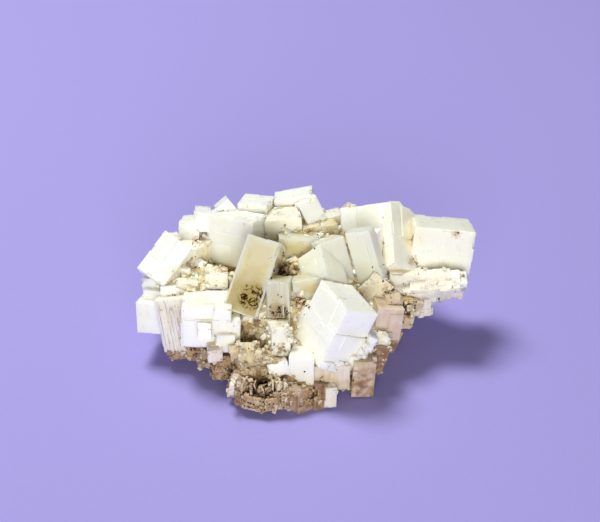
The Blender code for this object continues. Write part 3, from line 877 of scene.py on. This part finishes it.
# %% The scatter tree
def scatter_tree():
    """Cubes of random size, turn and tint on the faces of a mesh."""
    tree, start, end = tree_with_inputs("scatter cubes", (
        ("Cube", "NodeSocketObject"),
        ("Density", "NodeSocketFloat"),
        ("Smallest", "NodeSocketFloat"),
        ("Largest", "NodeSocketFloat"),
        ("Lowest", "NodeSocketFloat"),
        ("Bare", "NodeSocketFloat"),
        ("Patch", "NodeSocketFloat"),
        ("Along host", "NodeSocketBool"),
        ("By host", "NodeSocketFloat"),
        ("By mud", "NodeSocketFloat"),
        ("Seed", "NodeSocketInt"),
        ("Material", "NodeSocketMaterial"),
    ))
    given = start.outputs
    place = add(tree, "GeometryNodeInputPosition").outputs[0]
    above = higher(tree, height_of(tree, place), given["Lowest"])
    patch = add(tree, "ShaderNodeTexNoise", {"Vector": place, "Scale": given["Patch"], "Detail": 2.0})
    chosen = both(tree, above, higher(tree, patch.outputs[0], given["Bare"]))
    loose = add(tree, "GeometryNodeInputNamedAttribute", {"Name": "loose salt"}, data_type="FLOAT")
    share = one_or(tree, given["By host"], loose.outputs[0])
    muddy = one_or(tree, given["By mud"], mud_and_shadow_depth(tree, place))
    density = product(tree, product(tree, given["Density"], share), muddy)
    points = add(tree, "GeometryNodeDistributePointsOnFaces", {
        "Mesh": given["Geometry"],
        "Density": density,
        "Seed": given["Seed"],
    }, distribute_method="RANDOM")
    kept = add(tree, "GeometryNodeSeparateGeometry", {
        "Geometry": points.outputs["Points"],
        "Selection": chosen,
    }, domain="POINT")
    cube = add(tree, "GeometryNodeObjectInfo", {"Object": given["Cube"]}, transform_space="ORIGINAL")
    any_turn = random_vector(tree, (0.0,) * 3, (QUARTER_TURN,) * 3, given["Seed"])
    slight = random_vector(tree, (-LEAN_ON_HOST, -LEAN_ON_HOST, 0.0),
                           (LEAN_ON_HOST, LEAN_ON_HOST, QUARTER_TURN), given["Seed"])
    leaning = add(tree, "FunctionNodeRotateRotation", {
        "Rotation": points.outputs["Rotation"],
        "Rotate By": slight,
    }, rotation_space="LOCAL").outputs[0]
    turn = add(tree, "GeometryNodeSwitch", {
        "Switch": given["Along host"],
        "False": any_turn,
        "True": leaning,
    }, input_type="ROTATION").outputs[0]
    edge = add(tree, "FunctionNodeRandomValue", {2: 0.0, 3: 1.0, "Seed": 5}, data_type="FLOAT").outputs[1]
    length = add(tree, "ShaderNodeMapRange", {
        "Value": maths(tree, "POWER", edge, MOSTLY_SMALL),
        "To Min": given["Smallest"],
        "To Max": given["Largest"],
    }).outputs[0]
    stretch = random_vector(tree, (SIDES[0],) * 3, (SIDES[1],) * 3, 6)
    sizes = add(tree, "ShaderNodeVectorMath", {0: stretch, "Scale": length}, operation="SCALE").outputs[0]
    cubes = add(tree, "GeometryNodeInstanceOnPoints", {
        "Points": kept.outputs[0],
        "Instance": cube.outputs["Geometry"],
        "Rotation": turn,
        "Scale": sizes,
    })
    tint = random_vector(tree, (0.0,) * 3, (1.0,) * 3, 7)
    noted = add(tree, "GeometryNodeStoreNamedAttribute", {
        "Geometry": cubes.outputs[0],
        "Name": "grain",
        "Value": tint,
    }, data_type="FLOAT_VECTOR", domain="INSTANCE")
    real = add(tree, "GeometryNodeRealizeInstances", {0: noted.outputs[0]})
    painted = add(tree, "GeometryNodeSetMaterial", {0: real.outputs[0], "Material": given["Material"]})
    tree.links.new(painted.outputs[0], end.inputs[0])
    return tree


# %% [markdown]
# ## Mud in the seams
#
# Where two crystals met, mud was caught between them, and it shows as rows of dark
# grains along the seam. The seams are known exactly: they are the edges whose two
# faces belong to different crystals. Those edges alone become a curve, and Geometry
# Nodes set grains along it, with gaps.

# %% Seams, and grains along them
MUDDIER_SEAMS = 0.4          # how much more of a seam is filled in a pocket of mud


def seams_of(piece):
    """The edges of a joined mesh where one crystal meets another."""
    bm = bmesh.new()
    bm.from_mesh(piece.data)
    owner = bm.faces.layers.int["crystal"]
    inner = [edge for edge in bm.edges
             if len(edge.link_faces) == 2 and edge.link_faces[0][owner] == edge.link_faces[1][owner]]
    bmesh.ops.delete(bm, geom=inner, context="EDGES_FACES")
    bmesh.ops.delete(bm, geom=bm.faces[:], context="FACES_ONLY")
    return link_object("seams", mesh_from("seams", bm))


def seam_tree():
    """Small dark grains in broken rows along the edges of a mesh."""
    tree, start, end = tree_with_inputs("grains in seams", (
        ("Cube", "NodeSocketObject"),
        ("Spacing", "NodeSocketFloat"),
        ("Smallest", "NodeSocketFloat"),
        ("Largest", "NodeSocketFloat"),
        ("Lowest", "NodeSocketFloat"),
        ("Bare", "NodeSocketFloat"),
        ("Patch", "NodeSocketFloat"),
        ("Spread", "NodeSocketFloat"),
        ("Seed", "NodeSocketInt"),
        ("Material", "NodeSocketMaterial"),
    ))
    given = start.outputs
    curve = add(tree, "GeometryNodeMeshToCurve", {"Mesh": given["Geometry"]})
    points = add(tree, "GeometryNodeCurveToPoints", {"Curve": curve.outputs[0], "Length": given["Spacing"]},
                 mode="LENGTH").outputs["Points"]
    place = add(tree, "GeometryNodeInputPosition").outputs[0]
    above = higher(tree, height_of(tree, place), given["Lowest"])
    patch = add(tree, "ShaderNodeTexNoise", {"Vector": place, "Scale": given["Patch"], "Detail": 3.0})
    amount = maths(tree, "ADD", patch.outputs[0], product(tree, mud_and_shadow_depth(tree, place), MUDDIER_SEAMS))
    chosen = both(tree, above, higher(tree, amount, given["Bare"]))
    kept = add(tree, "GeometryNodeSeparateGeometry", {0: points, 1: chosen}, domain="POINT").outputs[0]
    around = random_vector(tree, (-1.0,) * 3, (1.0,) * 3, given["Seed"])
    shift = add(tree, "ShaderNodeVectorMath", {0: around, "Scale": given["Spread"]}, operation="SCALE")
    spread = add(tree, "GeometryNodeSetPosition", {"Geometry": kept, "Offset": shift.outputs[0]}).outputs[0]
    cube = add(tree, "GeometryNodeObjectInfo", {"Object": given["Cube"]}, transform_space="ORIGINAL")
    turn = random_vector(tree, (0.0,) * 3, (FULL_TURN,) * 3, 2)
    size = add(tree, "FunctionNodeRandomValue", {2: given["Smallest"], 3: given["Largest"], "Seed": 3},
               data_type="FLOAT").outputs[1]
    grains = add(tree, "GeometryNodeInstanceOnPoints", {
        "Points": spread,
        "Instance": cube.outputs["Geometry"],
        "Rotation": turn,
        "Scale": size,
    }).outputs[0]
    real = add(tree, "GeometryNodeRealizeInstances", {0: grains}).outputs[0]
    painted = add(tree, "GeometryNodeSetMaterial", {0: real, "Material": given["Material"]})
    tree.links.new(painted.outputs[0], end.inputs[0])
    return tree


# %% [markdown]
# ## Milky halite
#
# The white crystals are full of brine pockets a few thousandths of a millimetre
# wide. Light that enters is scattered and comes back out nearly white a millimetre
# or two away, so the edges glow and shadows inside them are pale; whiter colour along
# the edges adds a painted glow. Iron gives some faces a tint of honey, a honey tan tint
# in the recesses is painted shade, and mud stains the lower crystals pinkish tan in
# streaks that run along them, browner towards the ground, partly as painted shade.

# %% The milky salt's colours
WHITE_SALT = linear("#FBF9F1")    # clean salt, brighter than paper
HONEY_SALT = linear("#E6D8AE")    # salt with a little iron, the colour of weak tea in milk
PINK_STAIN = linear("#DDC6B8")    # salt with a film of red clay
TAN_STAIN = linear("#CBAE7C")     # salt with a film of brown clay
BROWN_STAIN = linear("#87603B")   # clay that hides the salt
DARK_MUD = linear("#2A1B0E")      # wet mud dried in a crack, nearly black
HALITE_IOR = 1.544


def parts_of(tree, name):
    """The three parts of an attribute that the mesh carries."""
    vector = add(tree, "ShaderNodeAttribute", attribute_name=name).outputs["Vector"]
    return add(tree, "ShaderNodeSeparateXYZ", {0: vector}).outputs


def new_material(name):
    """A material with its Principled shader, its tree and its place in the object."""
    material = bpy.data.materials.new(name)
    material.use_nodes = True
    tree = material.node_tree
    place = add(tree, "ShaderNodeTexCoord").outputs["Object"]
    return material, tree, tree.nodes["Principled BSDF"], place


# %% Edge distance, growth layers, dirt and painted shade in recesses, which several kinds of salt share
LAYER_LINES = (0.08, 1.4)    # swells per mm, along a growth layer and across it
MORE_MUD_AND_SHADE_IN_RECESS = 0.45        # how much darker a recess is painted than an open face: partly mud, partly painted shade
WING_STARTS = (30, 42)       # mm to the right, where the wing's tint fades in
WING_ENDS = (35, 30)         # mm up, where the tint fades in downwards


def crystal_lines(tree):
    """The place in the crystal in mm, and the distance in mm to its nearest edge."""
    local = add(tree, "ShaderNodeAttribute", attribute_name="local").outputs["Vector"]
    half = add(tree, "ShaderNodeAttribute", attribute_name="half").outputs["Vector"]
    away = add(tree, "ShaderNodeVectorMath", {0: local}, operation="ABSOLUTE").outputs[0]
    inside = add(tree, "ShaderNodeVectorMath", {0: half, 1: away}, operation="SUBTRACT").outputs[0]
    parts = add(tree, "ShaderNodeSeparateXYZ", {0: inside}).outputs
    least = maths(tree, "MINIMUM", parts[0], parts[1])
    most = maths(tree, "MAXIMUM", parts[0], parts[1])
    edge = maths(tree, "MAXIMUM", least, maths(tree, "MINIMUM", most, parts[2]))
    return local, edge


def local_part(tree, local, axis):
    """One part of the place in the crystal, in mm."""
    return add(tree, "ShaderNodeSeparateXYZ", {0: local}).outputs[axis]


def stretched_noise(tree, local, per_mm, detail):
    """Noise with its own number of swells per mm along each side of a crystal."""
    squeezed = add(tree, "ShaderNodeVectorMath", {0: local, 1: per_mm}, operation="MULTIPLY").outputs[0]
    swells = add(tree, "ShaderNodeTexNoise", {"Vector": squeezed, "Scale": 1.0, "Detail": detail})
    return swells.outputs["Fac"]


def layer_lines(tree, local):
    """Fine lines across each face where one growth layer ends on the next."""
    along, across = LAYER_LINES
    layers = None
    for sides in ((along, along, across), (along, across, along), (across, along, along)):
        lines = stretched_noise(tree, local, sides, 4.0)
        layers = lines if layers is None else maths(tree, "ADD", layers, lines)
    return layers


def specks_at(tree, place, pitch_mm, radius, patch_mm, bare):
    """Dark grains caught in patches: how much of one lies at each point."""
    grains = add(tree, "ShaderNodeTexVoronoi", {"Vector": place, "Scale": 1 / (pitch_mm * MM)})
    where = ramp(tree, noise_at(tree, place, patch_mm, Detail=3.0), bare, bare + 0.08)
    return product(tree, ramp(tree, grains.outputs["Distance"], radius, radius * 0.6), where)


def hidden_at(tree, distance_mm, open_share, closed_share):
    """0 on an open face and 1 deep in a recess of about the given size, from ambient occlusion: it places
    painted shade, and more mud.
    """
    seen = add(tree, "ShaderNodeAmbientOcclusion", {"Distance": distance_mm * MM}, samples=8).outputs["AO"]
    return ramp(tree, seen, open_share, closed_share)


def muddied_and_shaded(tree, place, colour, fine, hidden):
    """Brown and then dark mud over a colour, in the pockets only and most in their recesses, where the extra
    darkness is painted shade.
    """
    depth = mud_and_shadow_depth(tree, place)
    reach = product(tree, depth, maths(tree, "ADD", product(tree, hidden, MORE_MUD_AND_SHADE_IN_RECESS), 0.3))
    amount = maths(tree, "ADD", product(tree, fine, ramp(tree, depth, 0.0, 0.2)), reach)
    warm = mix(tree, ramp(tree, amount, 0.5, 0.72, 0.0, 0.7), colour, TAN_STAIN)
    brown = mix(tree, ramp(tree, amount, 0.72, 0.92, 0.0, 0.9), warm, BROWN_STAIN)
    return mix(tree, ramp(tree, amount, 0.94, 1.04, 0.0, 0.95), brown, DARK_MUD)


def under_wing(tree, place):
    """1 on the whitish pink underside of the right wing, 0 elsewhere."""
    parts = add(tree, "ShaderNodeSeparateXYZ", {0: place}).outputs
    out = ramp(tree, parts["X"], *(reach * MM for reach in WING_STARTS))
    return product(tree, out, ramp(tree, parts["Z"], *(height * MM for height in WING_ENDS)))


# %% The milky salt
def milky_material():
    """Salt full of brine pockets, with honey, clay and mud on it, painted shade in its recesses and partly
    towards the ground, and a painted glow on its edges.
    """
    material, tree, shader, place = new_material("milky halite")
    stain, honey, streaky = parts_of(tree, "look")
    local, edge = crystal_lines(tree)
    cloud = noise_at(tree, place, 12, Detail=3.0)
    soft = noise_at(tree, place, 4, Detail=4.0)
    fine = noise_at(tree, place, 1.0, Detail=6.0)
    # How far each point lies in a recess, from ambient occlusion; below it places painted shade.
    wide = hidden_at(tree, 6, 0.75, 0.25)

    # Iron: a tint of honey that comes and goes.
    honey_share = maths(tree, "ADD", ramp(tree, cloud, 0.45, 0.8, 0.0, 0.25), product(tree, honey, 0.6))
    salt = mix(tree, honey_share, WHITE_SALT, HONEY_SALT)

    # Clay: a pink or tan film in streaks, more of it near the ground, where it is partly painted shade.
    streaks = stretched_noise(tree, local, (0.9, 0.9, 0.05), 3.0)
    streaks = product(tree, ramp(tree, streaks, 0.4, 0.62), streaky)
    low_down = ramp(tree, height_of(tree, place), 0.018, 0.004, 0.0, 0.35)
    share = product(tree, maths(tree, "ADD", stain, low_down), ramp(tree, soft, 0.2, 0.7, 0.55, 1.25))
    share = maths(tree, "ADD", share, product(tree, streaks, 0.3), use_clamp=True)
    salt = mix(tree, share, salt, mix(tree, ramp(tree, cloud, 0.4, 0.6), PINK_STAIN, TAN_STAIN))
    muddy = product(tree, ramp(tree, stain, 0.6, 1.0, 0.0, 0.9), ramp(tree, soft, 0.2, 0.5))
    salt = mix(tree, muddy, salt, BROWN_STAIN)
    # Browner near the ground on stained crystals: partly mud, partly painted shade.
    foot = ramp(tree, height_of(tree, place), 0.018, 0.006, 0.0, 0.9)
    steeped_and_shaded = product(tree, foot, ramp(tree, stain, 0.45, 0.7))
    salt = mix(tree, product(tree, steeped_and_shaded, ramp(tree, soft, 0.38, 0.62)), salt, BROWN_STAIN)

    # Painted shade in corners and narrow recesses, from ambient occlusion, as a honey tan tint and a tan to
    # brown tint that is partly dirt; mud in its pockets, darker in their recesses as painted shade; and a
    # few dark specks.
    corner_tint_and_shade = product(tree, product(tree, wide, 0.36), ramp(tree, soft, 0.3, 0.55))
    salt = mix(tree, corner_tint_and_shade, salt, mix(tree, 0.5, HONEY_SALT, TAN_STAIN))
    near = product(tree, hidden_at(tree, 1.6, 0.5, 0.15), ramp(tree, stain, 0.0, 0.4, 0.22, 0.9))
    crevice_dirt_and_shade = product(tree, near, ramp(tree, fine, 0.45, 0.65))
    salt = mix(tree, crevice_dirt_and_shade, salt, mix(tree, stain, TAN_STAIN, BROWN_STAIN))
    salt = muddied_and_shaded(tree, place, salt, fine, wide)
    salt = mix(tree, specks_at(tree, place, 0.8, 0.22, 6, 0.66), salt, DARK_MUD)

    # Edges whiter where the crystal is clean: partly wear, partly a painted glow of light scattering out at
    # the edges.
    unstained = product(tree, ramp(tree, stain, 0.5, 0.1, 0.1, 0.6), ramp(tree, soft, 0.4, 0.6))
    salt = mix(tree, product(tree, ramp(tree, edge, 0.6, 0.1), unstained), salt, WHITE_SALT)
    tree.links.new(salt, shader.inputs["Base Color"])

    relief = maths(tree, "ADD", layer_lines(tree, local), product(tree, streaks, 1.2))
    bump = add(tree, "ShaderNodeBump", {"Height": relief, "Distance": 0.15 * MM, "Strength": 0.5})
    tree.links.new(bump.outputs[0], shader.inputs["Normal"])
    tree.links.new(ramp(tree, soft, 0.3, 0.7, 0.25, 0.45), shader.inputs["Roughness"])
    shader.inputs["IOR"].default_value = HALITE_IOR
    shader.inputs["Subsurface Weight"].default_value = 0.75
    shader.inputs["Subsurface Radius"].default_value = (1.0, 0.95, 0.75)
    shader.inputs["Subsurface Scale"].default_value = 2.5 * MM
    return material


def dress(piece, material):
    """Give a piece one material."""
    piece.data.materials.clear()
    piece.data.materials.append(material)


dress(milky, milky_material())
print(milky.name, "is", milky.data.materials[0].name)


# %% [markdown]
# ## Clear honey halite
#
# Where halite grew slowly it has few brine pockets, and it is nearly as clear as
# glass with a tint of honey from iron. It is given what the mineral has: transmission,
# its own index of refraction, and a volume that takes the blue out of light on its
# way. Crystals of this size are never quite clear, so a third of the light goes
# straight through the clear ones and an eighth through the cloudy ones, and the rest
# is scattered. Thin milky veils hang in them, brown mud branches through them like
# moss, and their edges are whiter than their honey middles, partly from wear and
# partly as a painted glow of light scattered at the edges.

# %% The clear salt
CLEAR_EDGE = linear("#FFFBEC")    # an edge, white with a breath of warmth: partly wear, partly a painted glow
CLEAR_HONEY = linear("#EBDA9E")   # the middle of a crystal, pale honey
CLEAR_OLIVE = linear("#C4AE66")   # its lower end, where more iron is, dull gold
MUDDY_HONEY = linear("#B89A4C")   # honey with mud dispersed in it
MOSS_HALO = linear("#86682E")     # the brown haze around a thread of mud
MOSS = linear("#33200C")          # the thread itself
PASSED_LIGHT = linear("#F5DC8C")  # what is left of white light after a long way
HONEY_DENSITY = 7.0               # per metre
SEE_THROUGH = {"clear halite": 0.3, "cloudy halite": 0.12}  # the share that goes straight through


def clear_material(name):
    """Salt with few brine pockets, with veils, moss, and edges whiter than the middle, partly wear and
    partly a painted glow.
    """
    material, tree, shader, place = new_material(name)
    local, edge = crystal_lines(tree)
    honey = parts_of(tree, "look")[1]
    fine = noise_at(tree, place, 1.2, Detail=5.0)
    soft = noise_at(tree, place, 5, Detail=3.0)
    cloud = noise_at(tree, place, 9, Detail=3.0)

    # Honey in the middle and whiter towards the edges, partly a painted glow of scattered light; gold at the
    # lower end; thin veils of brine.
    core = product(tree, ramp(tree, edge, 0.2, 3.5, 0.3, 1.0), ramp(tree, cloud, 0.35, 0.6, 0.5, 1.0))
    salt = mix(tree, product(tree, core, honey), CLEAR_EDGE, CLEAR_HONEY)
    lower = product(tree, ramp(tree, local_part(tree, local, 2), 4.0, -7.0, 0.0, 0.7), honey)
    salt = mix(tree, product(tree, lower, ramp(tree, soft, 0.3, 0.6, 0.5, 1.0)), salt, CLEAR_OLIVE)
    veil = product(tree, ramp(tree, cloud, 0.5, 0.62, 0.0, 0.4), ramp(tree, fine, 0.3, 0.6, 0.4, 1.0))
    salt = mix(tree, veil, salt, WHITE_SALT)

    # Moss: threads of mud where a noise passes through its middle, in the pockets only.
    depth = mud_and_shadow_depth(tree, place)
    salt = mix(tree, product(tree, ramp(tree, depth, 0.05, 0.8), 0.55), salt, MUDDY_HONEY)
    scribble = noise_at(tree, place, 2.6, Detail=5.0, Distortion=0.8)
    thread = maths(tree, "ABSOLUTE", maths(tree, "SUBTRACT", scribble, 0.5))
    where = product(tree, ramp(tree, depth, 0.2, 0.6), ramp(tree, soft, 0.42, 0.54))
    salt = mix(tree, product(tree, ramp(tree, thread, 0.09, 0.02, 0.0, 0.75), where), salt, MOSS_HALO)
    salt = mix(tree, product(tree, ramp(tree, thread, 0.05, 0.02), where), salt, MOSS)
    salt = mix(tree, specks_at(tree, place, 0.8, 0.24, 5, 0.62), salt, BROWN_STAIN)
    # Edges whiter still: partly wear, partly a painted glow of light scattered at the edges.
    rim = product(tree, ramp(tree, edge, 0.7, 0.2, 0.0, 0.9), ramp(tree, fine, 0.25, 0.5, 0.5, 1.0))
    salt = mix(tree, rim, salt, CLEAR_EDGE)
    tree.links.new(salt, shader.inputs["Base Color"])

    shader.inputs["Transmission Weight"].default_value = SEE_THROUGH[name]
    shader.inputs["IOR"].default_value = HALITE_IOR
    shader.inputs["Subsurface Weight"].default_value = 0.8
    shader.inputs["Subsurface Radius"].default_value = (1.0, 0.88, 0.6)
    shader.inputs["Subsurface Scale"].default_value = 3.0 * MM
    tree.links.new(ramp(tree, fine, 0.35, 0.7, 0.06, 0.2), shader.inputs["Roughness"])
    relief = layer_lines(tree, local)
    bump = add(tree, "ShaderNodeBump", {"Height": relief, "Distance": 0.1 * MM, "Strength": 0.2})
    tree.links.new(bump.outputs[0], shader.inputs["Normal"])
    absorbed = add(tree, "ShaderNodeVolumeAbsorption", {"Color": PASSED_LIGHT, "Density": HONEY_DENSITY})
    tree.links.new(absorbed.outputs[0], tree.nodes["Material Output"].inputs["Volume"])
    return material


for piece, kind in ((clear, "clear halite"), (cloudy, "cloudy halite")):
    dress(piece, clear_material(kind))
    print(piece.name, "passes", SEE_THROUGH[kind], "of the light")


# %% [markdown]
# ## Matrix, druse and mud
#
# The matrix is salt with mud in it: honey and cream where it is nearly clean, brown
# where it isn't and browner near the ground, partly as painted shade, dull and grainy.
# The druse is the same salt as the large crystals, with a tint drawn for each cube,
# paler towards the top of the cluster and browner below, partly as painted shade. Both
# are darker in the recesses of their mud pockets, as painted shade. The dark grains
# are dried mud, quite matt.

# %% Muddy salt, druse salt and dried mud
CRUST_COLOURS = (linear("#B89A60"), linear("#DDCFA2"))   # muddy salt: tan, and cream where it is cleaner
LOW_CRUST = linear("#8C6A3E")                            # brown near the ground, partly mud and partly painted shade
CLEAN_GRAINS = linear("#F1E8CC")                         # grains of salt that mud didn't reach
WING_CRUST = linear("#E3D3C8")                           # whitish pink under the wing
CLEAN_DRUSE = (linear("#FBF8EA"), linear("#E8DCB8"))     # little cubes, white to honey
WING_DRUSE = (linear("#FAF4F0"), linear("#E6D3C8"))      # white to pink
LOW_DRUSE = (linear("#D9C6B0"), linear("#9C7B58"))       # pinkish tan to brown, for near the ground: partly mud, partly painted shade
DUSTY_MUD = linear("#5A3E1E")                            # dried mud where it has turned to dust


def matrix_material():
    """Salt with mud in it, dull and grainy."""
    material, tree, shader, place = new_material("muddy salt crust")
    coarse = noise_at(tree, place, 8, Detail=5.0)
    fine = noise_at(tree, place, 0.8, Detail=6.0)
    crust = mix(tree, ramp(tree, coarse, 0.35, 0.6), *CRUST_COLOURS)
    # Browner near the ground: partly mud, partly painted shade.
    near_ground = ramp(tree, height_of(tree, place), 0.03, 0.01, 0.0, 0.8)
    crust = mix(tree, product(tree, near_ground, ramp(tree, coarse, 0.65, 0.4)), crust, LOW_CRUST)
    crust = mix(tree, ramp(tree, fine, 0.52, 0.7, 0.0, 0.8), crust, CLEAN_GRAINS)
    crust = mix(tree, ramp(tree, fine, 0.42, 0.32, 0.0, 0.7), crust, BROWN_STAIN)
    crust = mix(tree, product(tree, under_wing(tree, place), 0.8), crust, WING_CRUST)
    crust = muddied_and_shaded(tree, place, crust, fine, hidden_at(tree, 6, 0.75, 0.25))
    crust = mix(tree, specks_at(tree, place, 0.8, 0.3, 4, 0.5), crust, DARK_MUD)
    tree.links.new(crust, shader.inputs["Base Color"])
    shader.inputs["Roughness"].default_value = 0.6
    bump = add(tree, "ShaderNodeBump", {"Height": fine, "Distance": 0.4 * MM, "Strength": 0.8})
    tree.links.new(bump.outputs[0], shader.inputs["Normal"])
    return material


def druse_material():
    """Little clean cubes, each with a tint of its own, browner near the ground, partly mud and partly
    painted shade.
    """
    material, tree, shader, place = new_material("druse of halite")
    first, second = parts_of(tree, "grain")[:2]
    fine = noise_at(tree, place, 0.7, Detail=5.0)
    # Browner near the ground: partly mud, partly painted shade.
    low = ramp(tree, height_of(tree, place), 0.03, 0.008)
    clean = mix(tree, ramp(tree, first, 0.2, 0.9), *CLEAN_DRUSE)
    clean = mix(tree, under_wing(tree, place), clean, mix(tree, first, *WING_DRUSE))
    salt = mix(tree, low, clean, mix(tree, ramp(tree, first, 0.2, 0.9), *LOW_DRUSE))
    browner = maths(tree, "ADD", second, product(tree, low, 0.35))
    salt = mix(tree, ramp(tree, browner, 0.86, 1.0, 0.0, 0.85), salt, BROWN_STAIN)
    salt = mix(tree, ramp(tree, fine, 0.56, 0.72, 0.0, 0.6), salt, TAN_STAIN)
    salt = muddied_and_shaded(tree, place, salt, fine, hidden_at(tree, 4, 0.75, 0.25))
    tree.links.new(salt, shader.inputs["Base Color"])
    shader.inputs["Roughness"].default_value = 0.35
    shader.inputs["IOR"].default_value = HALITE_IOR
    shader.inputs["Subsurface Weight"].default_value = 0.5
    shader.inputs["Subsurface Radius"].default_value = (1.0, 0.85, 0.6)
    shader.inputs["Subsurface Scale"].default_value = 0.8 * MM
    return material


def mud_material():
    """Mud that dried in a crack, quite matt."""
    material, tree, shader, place = new_material("dried mud")
    fine = noise_at(tree, place, 0.5, Detail=4.0)
    tree.links.new(mix(tree, fine, DARK_MUD, DUSTY_MUD), shader.inputs["Base Color"])
    shader.inputs["Roughness"].default_value = 0.85
    return material


matrix.data.materials.clear()
matrix.data.materials.append(matrix_material())


# %% Scatter the grains
def hosts_mesh(pieces):
    """One object with the meshes of several pieces, for grains that lie on them all."""
    bm = bmesh.new()
    for piece in pieces:
        bm.from_mesh(piece.data)
    return link_object("hosts", mesh_from("hosts", bm))


druse_salt = druse_material()
dried_mud = mud_material()
cube = grain_cube("grain cube", GRAIN_BEVEL)
plain = grain_cube("plain cube")
hosts = hosts_mesh((milky, clear, cloudy, matrix))
scatter = scatter_tree()
druse = run_tree(scatter, matrix, "druse", {
    "Cube": cube,
    "Density": 330000.0,
    "Smallest": 0.5,
    "Largest": 2.4,
    "Lowest": 3.0 * MM,
    "Patch": 120.0,
    "Bare": 0.42,
    "Seed": 3,
    "Material": druse_salt,
})
crumbs = run_tree(scatter, milky, "loose_salt", {
    "Cube": plain,
    "Density": 2200000.0,
    "Smallest": 0.3,
    "Largest": 1.2,
    "Lowest": 1.5 * MM,
    "Patch": 160.0,
    "Bare": 0.5,
    "Along host": True,
    "By host": 1.0,
    "Seed": 4,
    "Material": druse_salt,
})
mud = run_tree(scatter, hosts, "mud_grains", {
    "Cube": plain,
    "Density": 1300000.0,
    "Smallest": 0.12,
    "Largest": 0.6,
    "Lowest": 1.0 * MM,
    "Patch": 300.0,
    "Bare": 0.5,
    "By mud": 1.0,
    "Seed": 9,
    "Material": dried_mud,
})
seams = seams_of(milky)
seam_mud = run_tree(seam_tree(), seams, "seam_mud", {
    "Cube": plain,
    "Spacing": 0.4 * MM,
    "Smallest": 0.12,
    "Largest": 0.42,
    "Lowest": 1.0 * MM,
    "Bare": 0.6,
    "Patch": 220.0,
    "Spread": 0.4 * MM,
    "Seed": 8,
    "Material": dried_mud,
})
for piece in (druse, crumbs, mud, seam_mud):
    print(piece.name, "has", sum(len(face.vertices) - 2 for face in piece.data.polygons), "triangles")
for spent in (cube, plain, seams, hosts):
    bpy.data.objects.remove(spent, do_unlink=True)

# %% [markdown]
# ## Riding on the frame
#
# Every piece belongs to the one body of the frame and stands for its solid.

# %% Attach each piece to the frame's one body and hide the frame's own solid
PIECES = (
    (milky, "milky_salt"),
    (clear, "clear_salt"),
    (cloudy, "clear_salt"),
    (matrix, "salt_matrix"),
    (druse, "milky_salt"),
    (crumbs, "milky_salt"),
    (mud, "salt_matrix"),
    (seam_mud, "salt_matrix"),
)
for piece, slot in PIECES:
    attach(piece, "root")
    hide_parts("halite_cluster")

# %% [markdown]
# ## A plain studio
#
# A pale floor, one large soft lamp overhead, behind the cluster and to its left, a
# low soft fill in front, and a faint even room light. The salt keeps its high key,
# and its shadow falls to the right. The camera alone sees the room as a backdrop of
# the floor's own colour.

# %% Floor, light and camera
FLOOR_HALF = 1.5
CAMERA_TARGET = (-0.002, 0.0115, 0.0387)
CAMERA_DISTANCE = 0.634
CAMERA_HEIGHT_ANGLE = 32.0
BOARD_COLOURS = (linear("#A297DF"), linear("#A69BE2"))
LAMP_COLOUR = linear("#FCFFF7")
ROOM_LIGHT = linear("#606062")
BACKDROP = linear("#B4ABEC")


def floor_material():
    """Pale violet board, quite matt, with the faintest grain."""
    material, tree, shader, place = new_material("matt painted board")
    grain = noise_at(tree, place, 2.0, Detail=3.0)
    tree.links.new(mix(tree, grain, *BOARD_COLOURS), shader.inputs["Base Color"])
    shader.inputs["Roughness"].default_value = 0.9
    return material


bm = bmesh.new()
bmesh.ops.create_grid(bm, x_segments=1, y_segments=1, size=FLOOR_HALF)
floor = link_object("floor", mesh_from("floor", bm))
dress(floor, floor_material())


def lamp(name, place, size, power):
    """A square soft lamp that faces the middle of the cluster."""
    light = bpy.data.lights.new(name, "AREA")
    light.size = size
    light.energy = power
    light.color = LAMP_COLOUR[:3]
    made = bpy.data.objects.new(name, light)
    made.location = place
    away = Vector(CAMERA_TARGET) - Vector(place)
    made.rotation_euler = away.to_track_quat("-Z", "Y").to_euler()
    bpy.context.scene.collection.objects.link(made)


lamp("overhead lamp", (-0.38, 0.45, 1.22), 0.46, 16.8)
lamp("front fill", (0.0, -1.14, 0.27), 0.62, 11.8)
world = bpy.data.worlds.new("bright room")
bpy.context.scene.world = world
world.use_nodes = True
room = world.node_tree
seen = add(room, "ShaderNodeLightPath").outputs["Is Camera Ray"]
room.links.new(mix(room, seen, ROOM_LIGHT, BACKDROP), room.nodes["Background"].inputs["Color"])

lens = bpy.data.cameras.new("camera")
lens.lens = 100
lens.sensor_width = 36
lens.clip_start = 0.01
camera = bpy.data.objects.new("camera", lens)
bpy.context.scene.collection.objects.link(camera)
camera.rotation_euler = (math.radians(90 - CAMERA_HEIGHT_ANGLE), 0, 0)
camera.location = Vector(CAMERA_TARGET) + camera.rotation_euler.to_matrix() @ Vector((0, 0, CAMERA_DISTANCE))
bpy.context.scene.camera = camera
bpy.context.scene.view_settings.view_transform = "Standard"
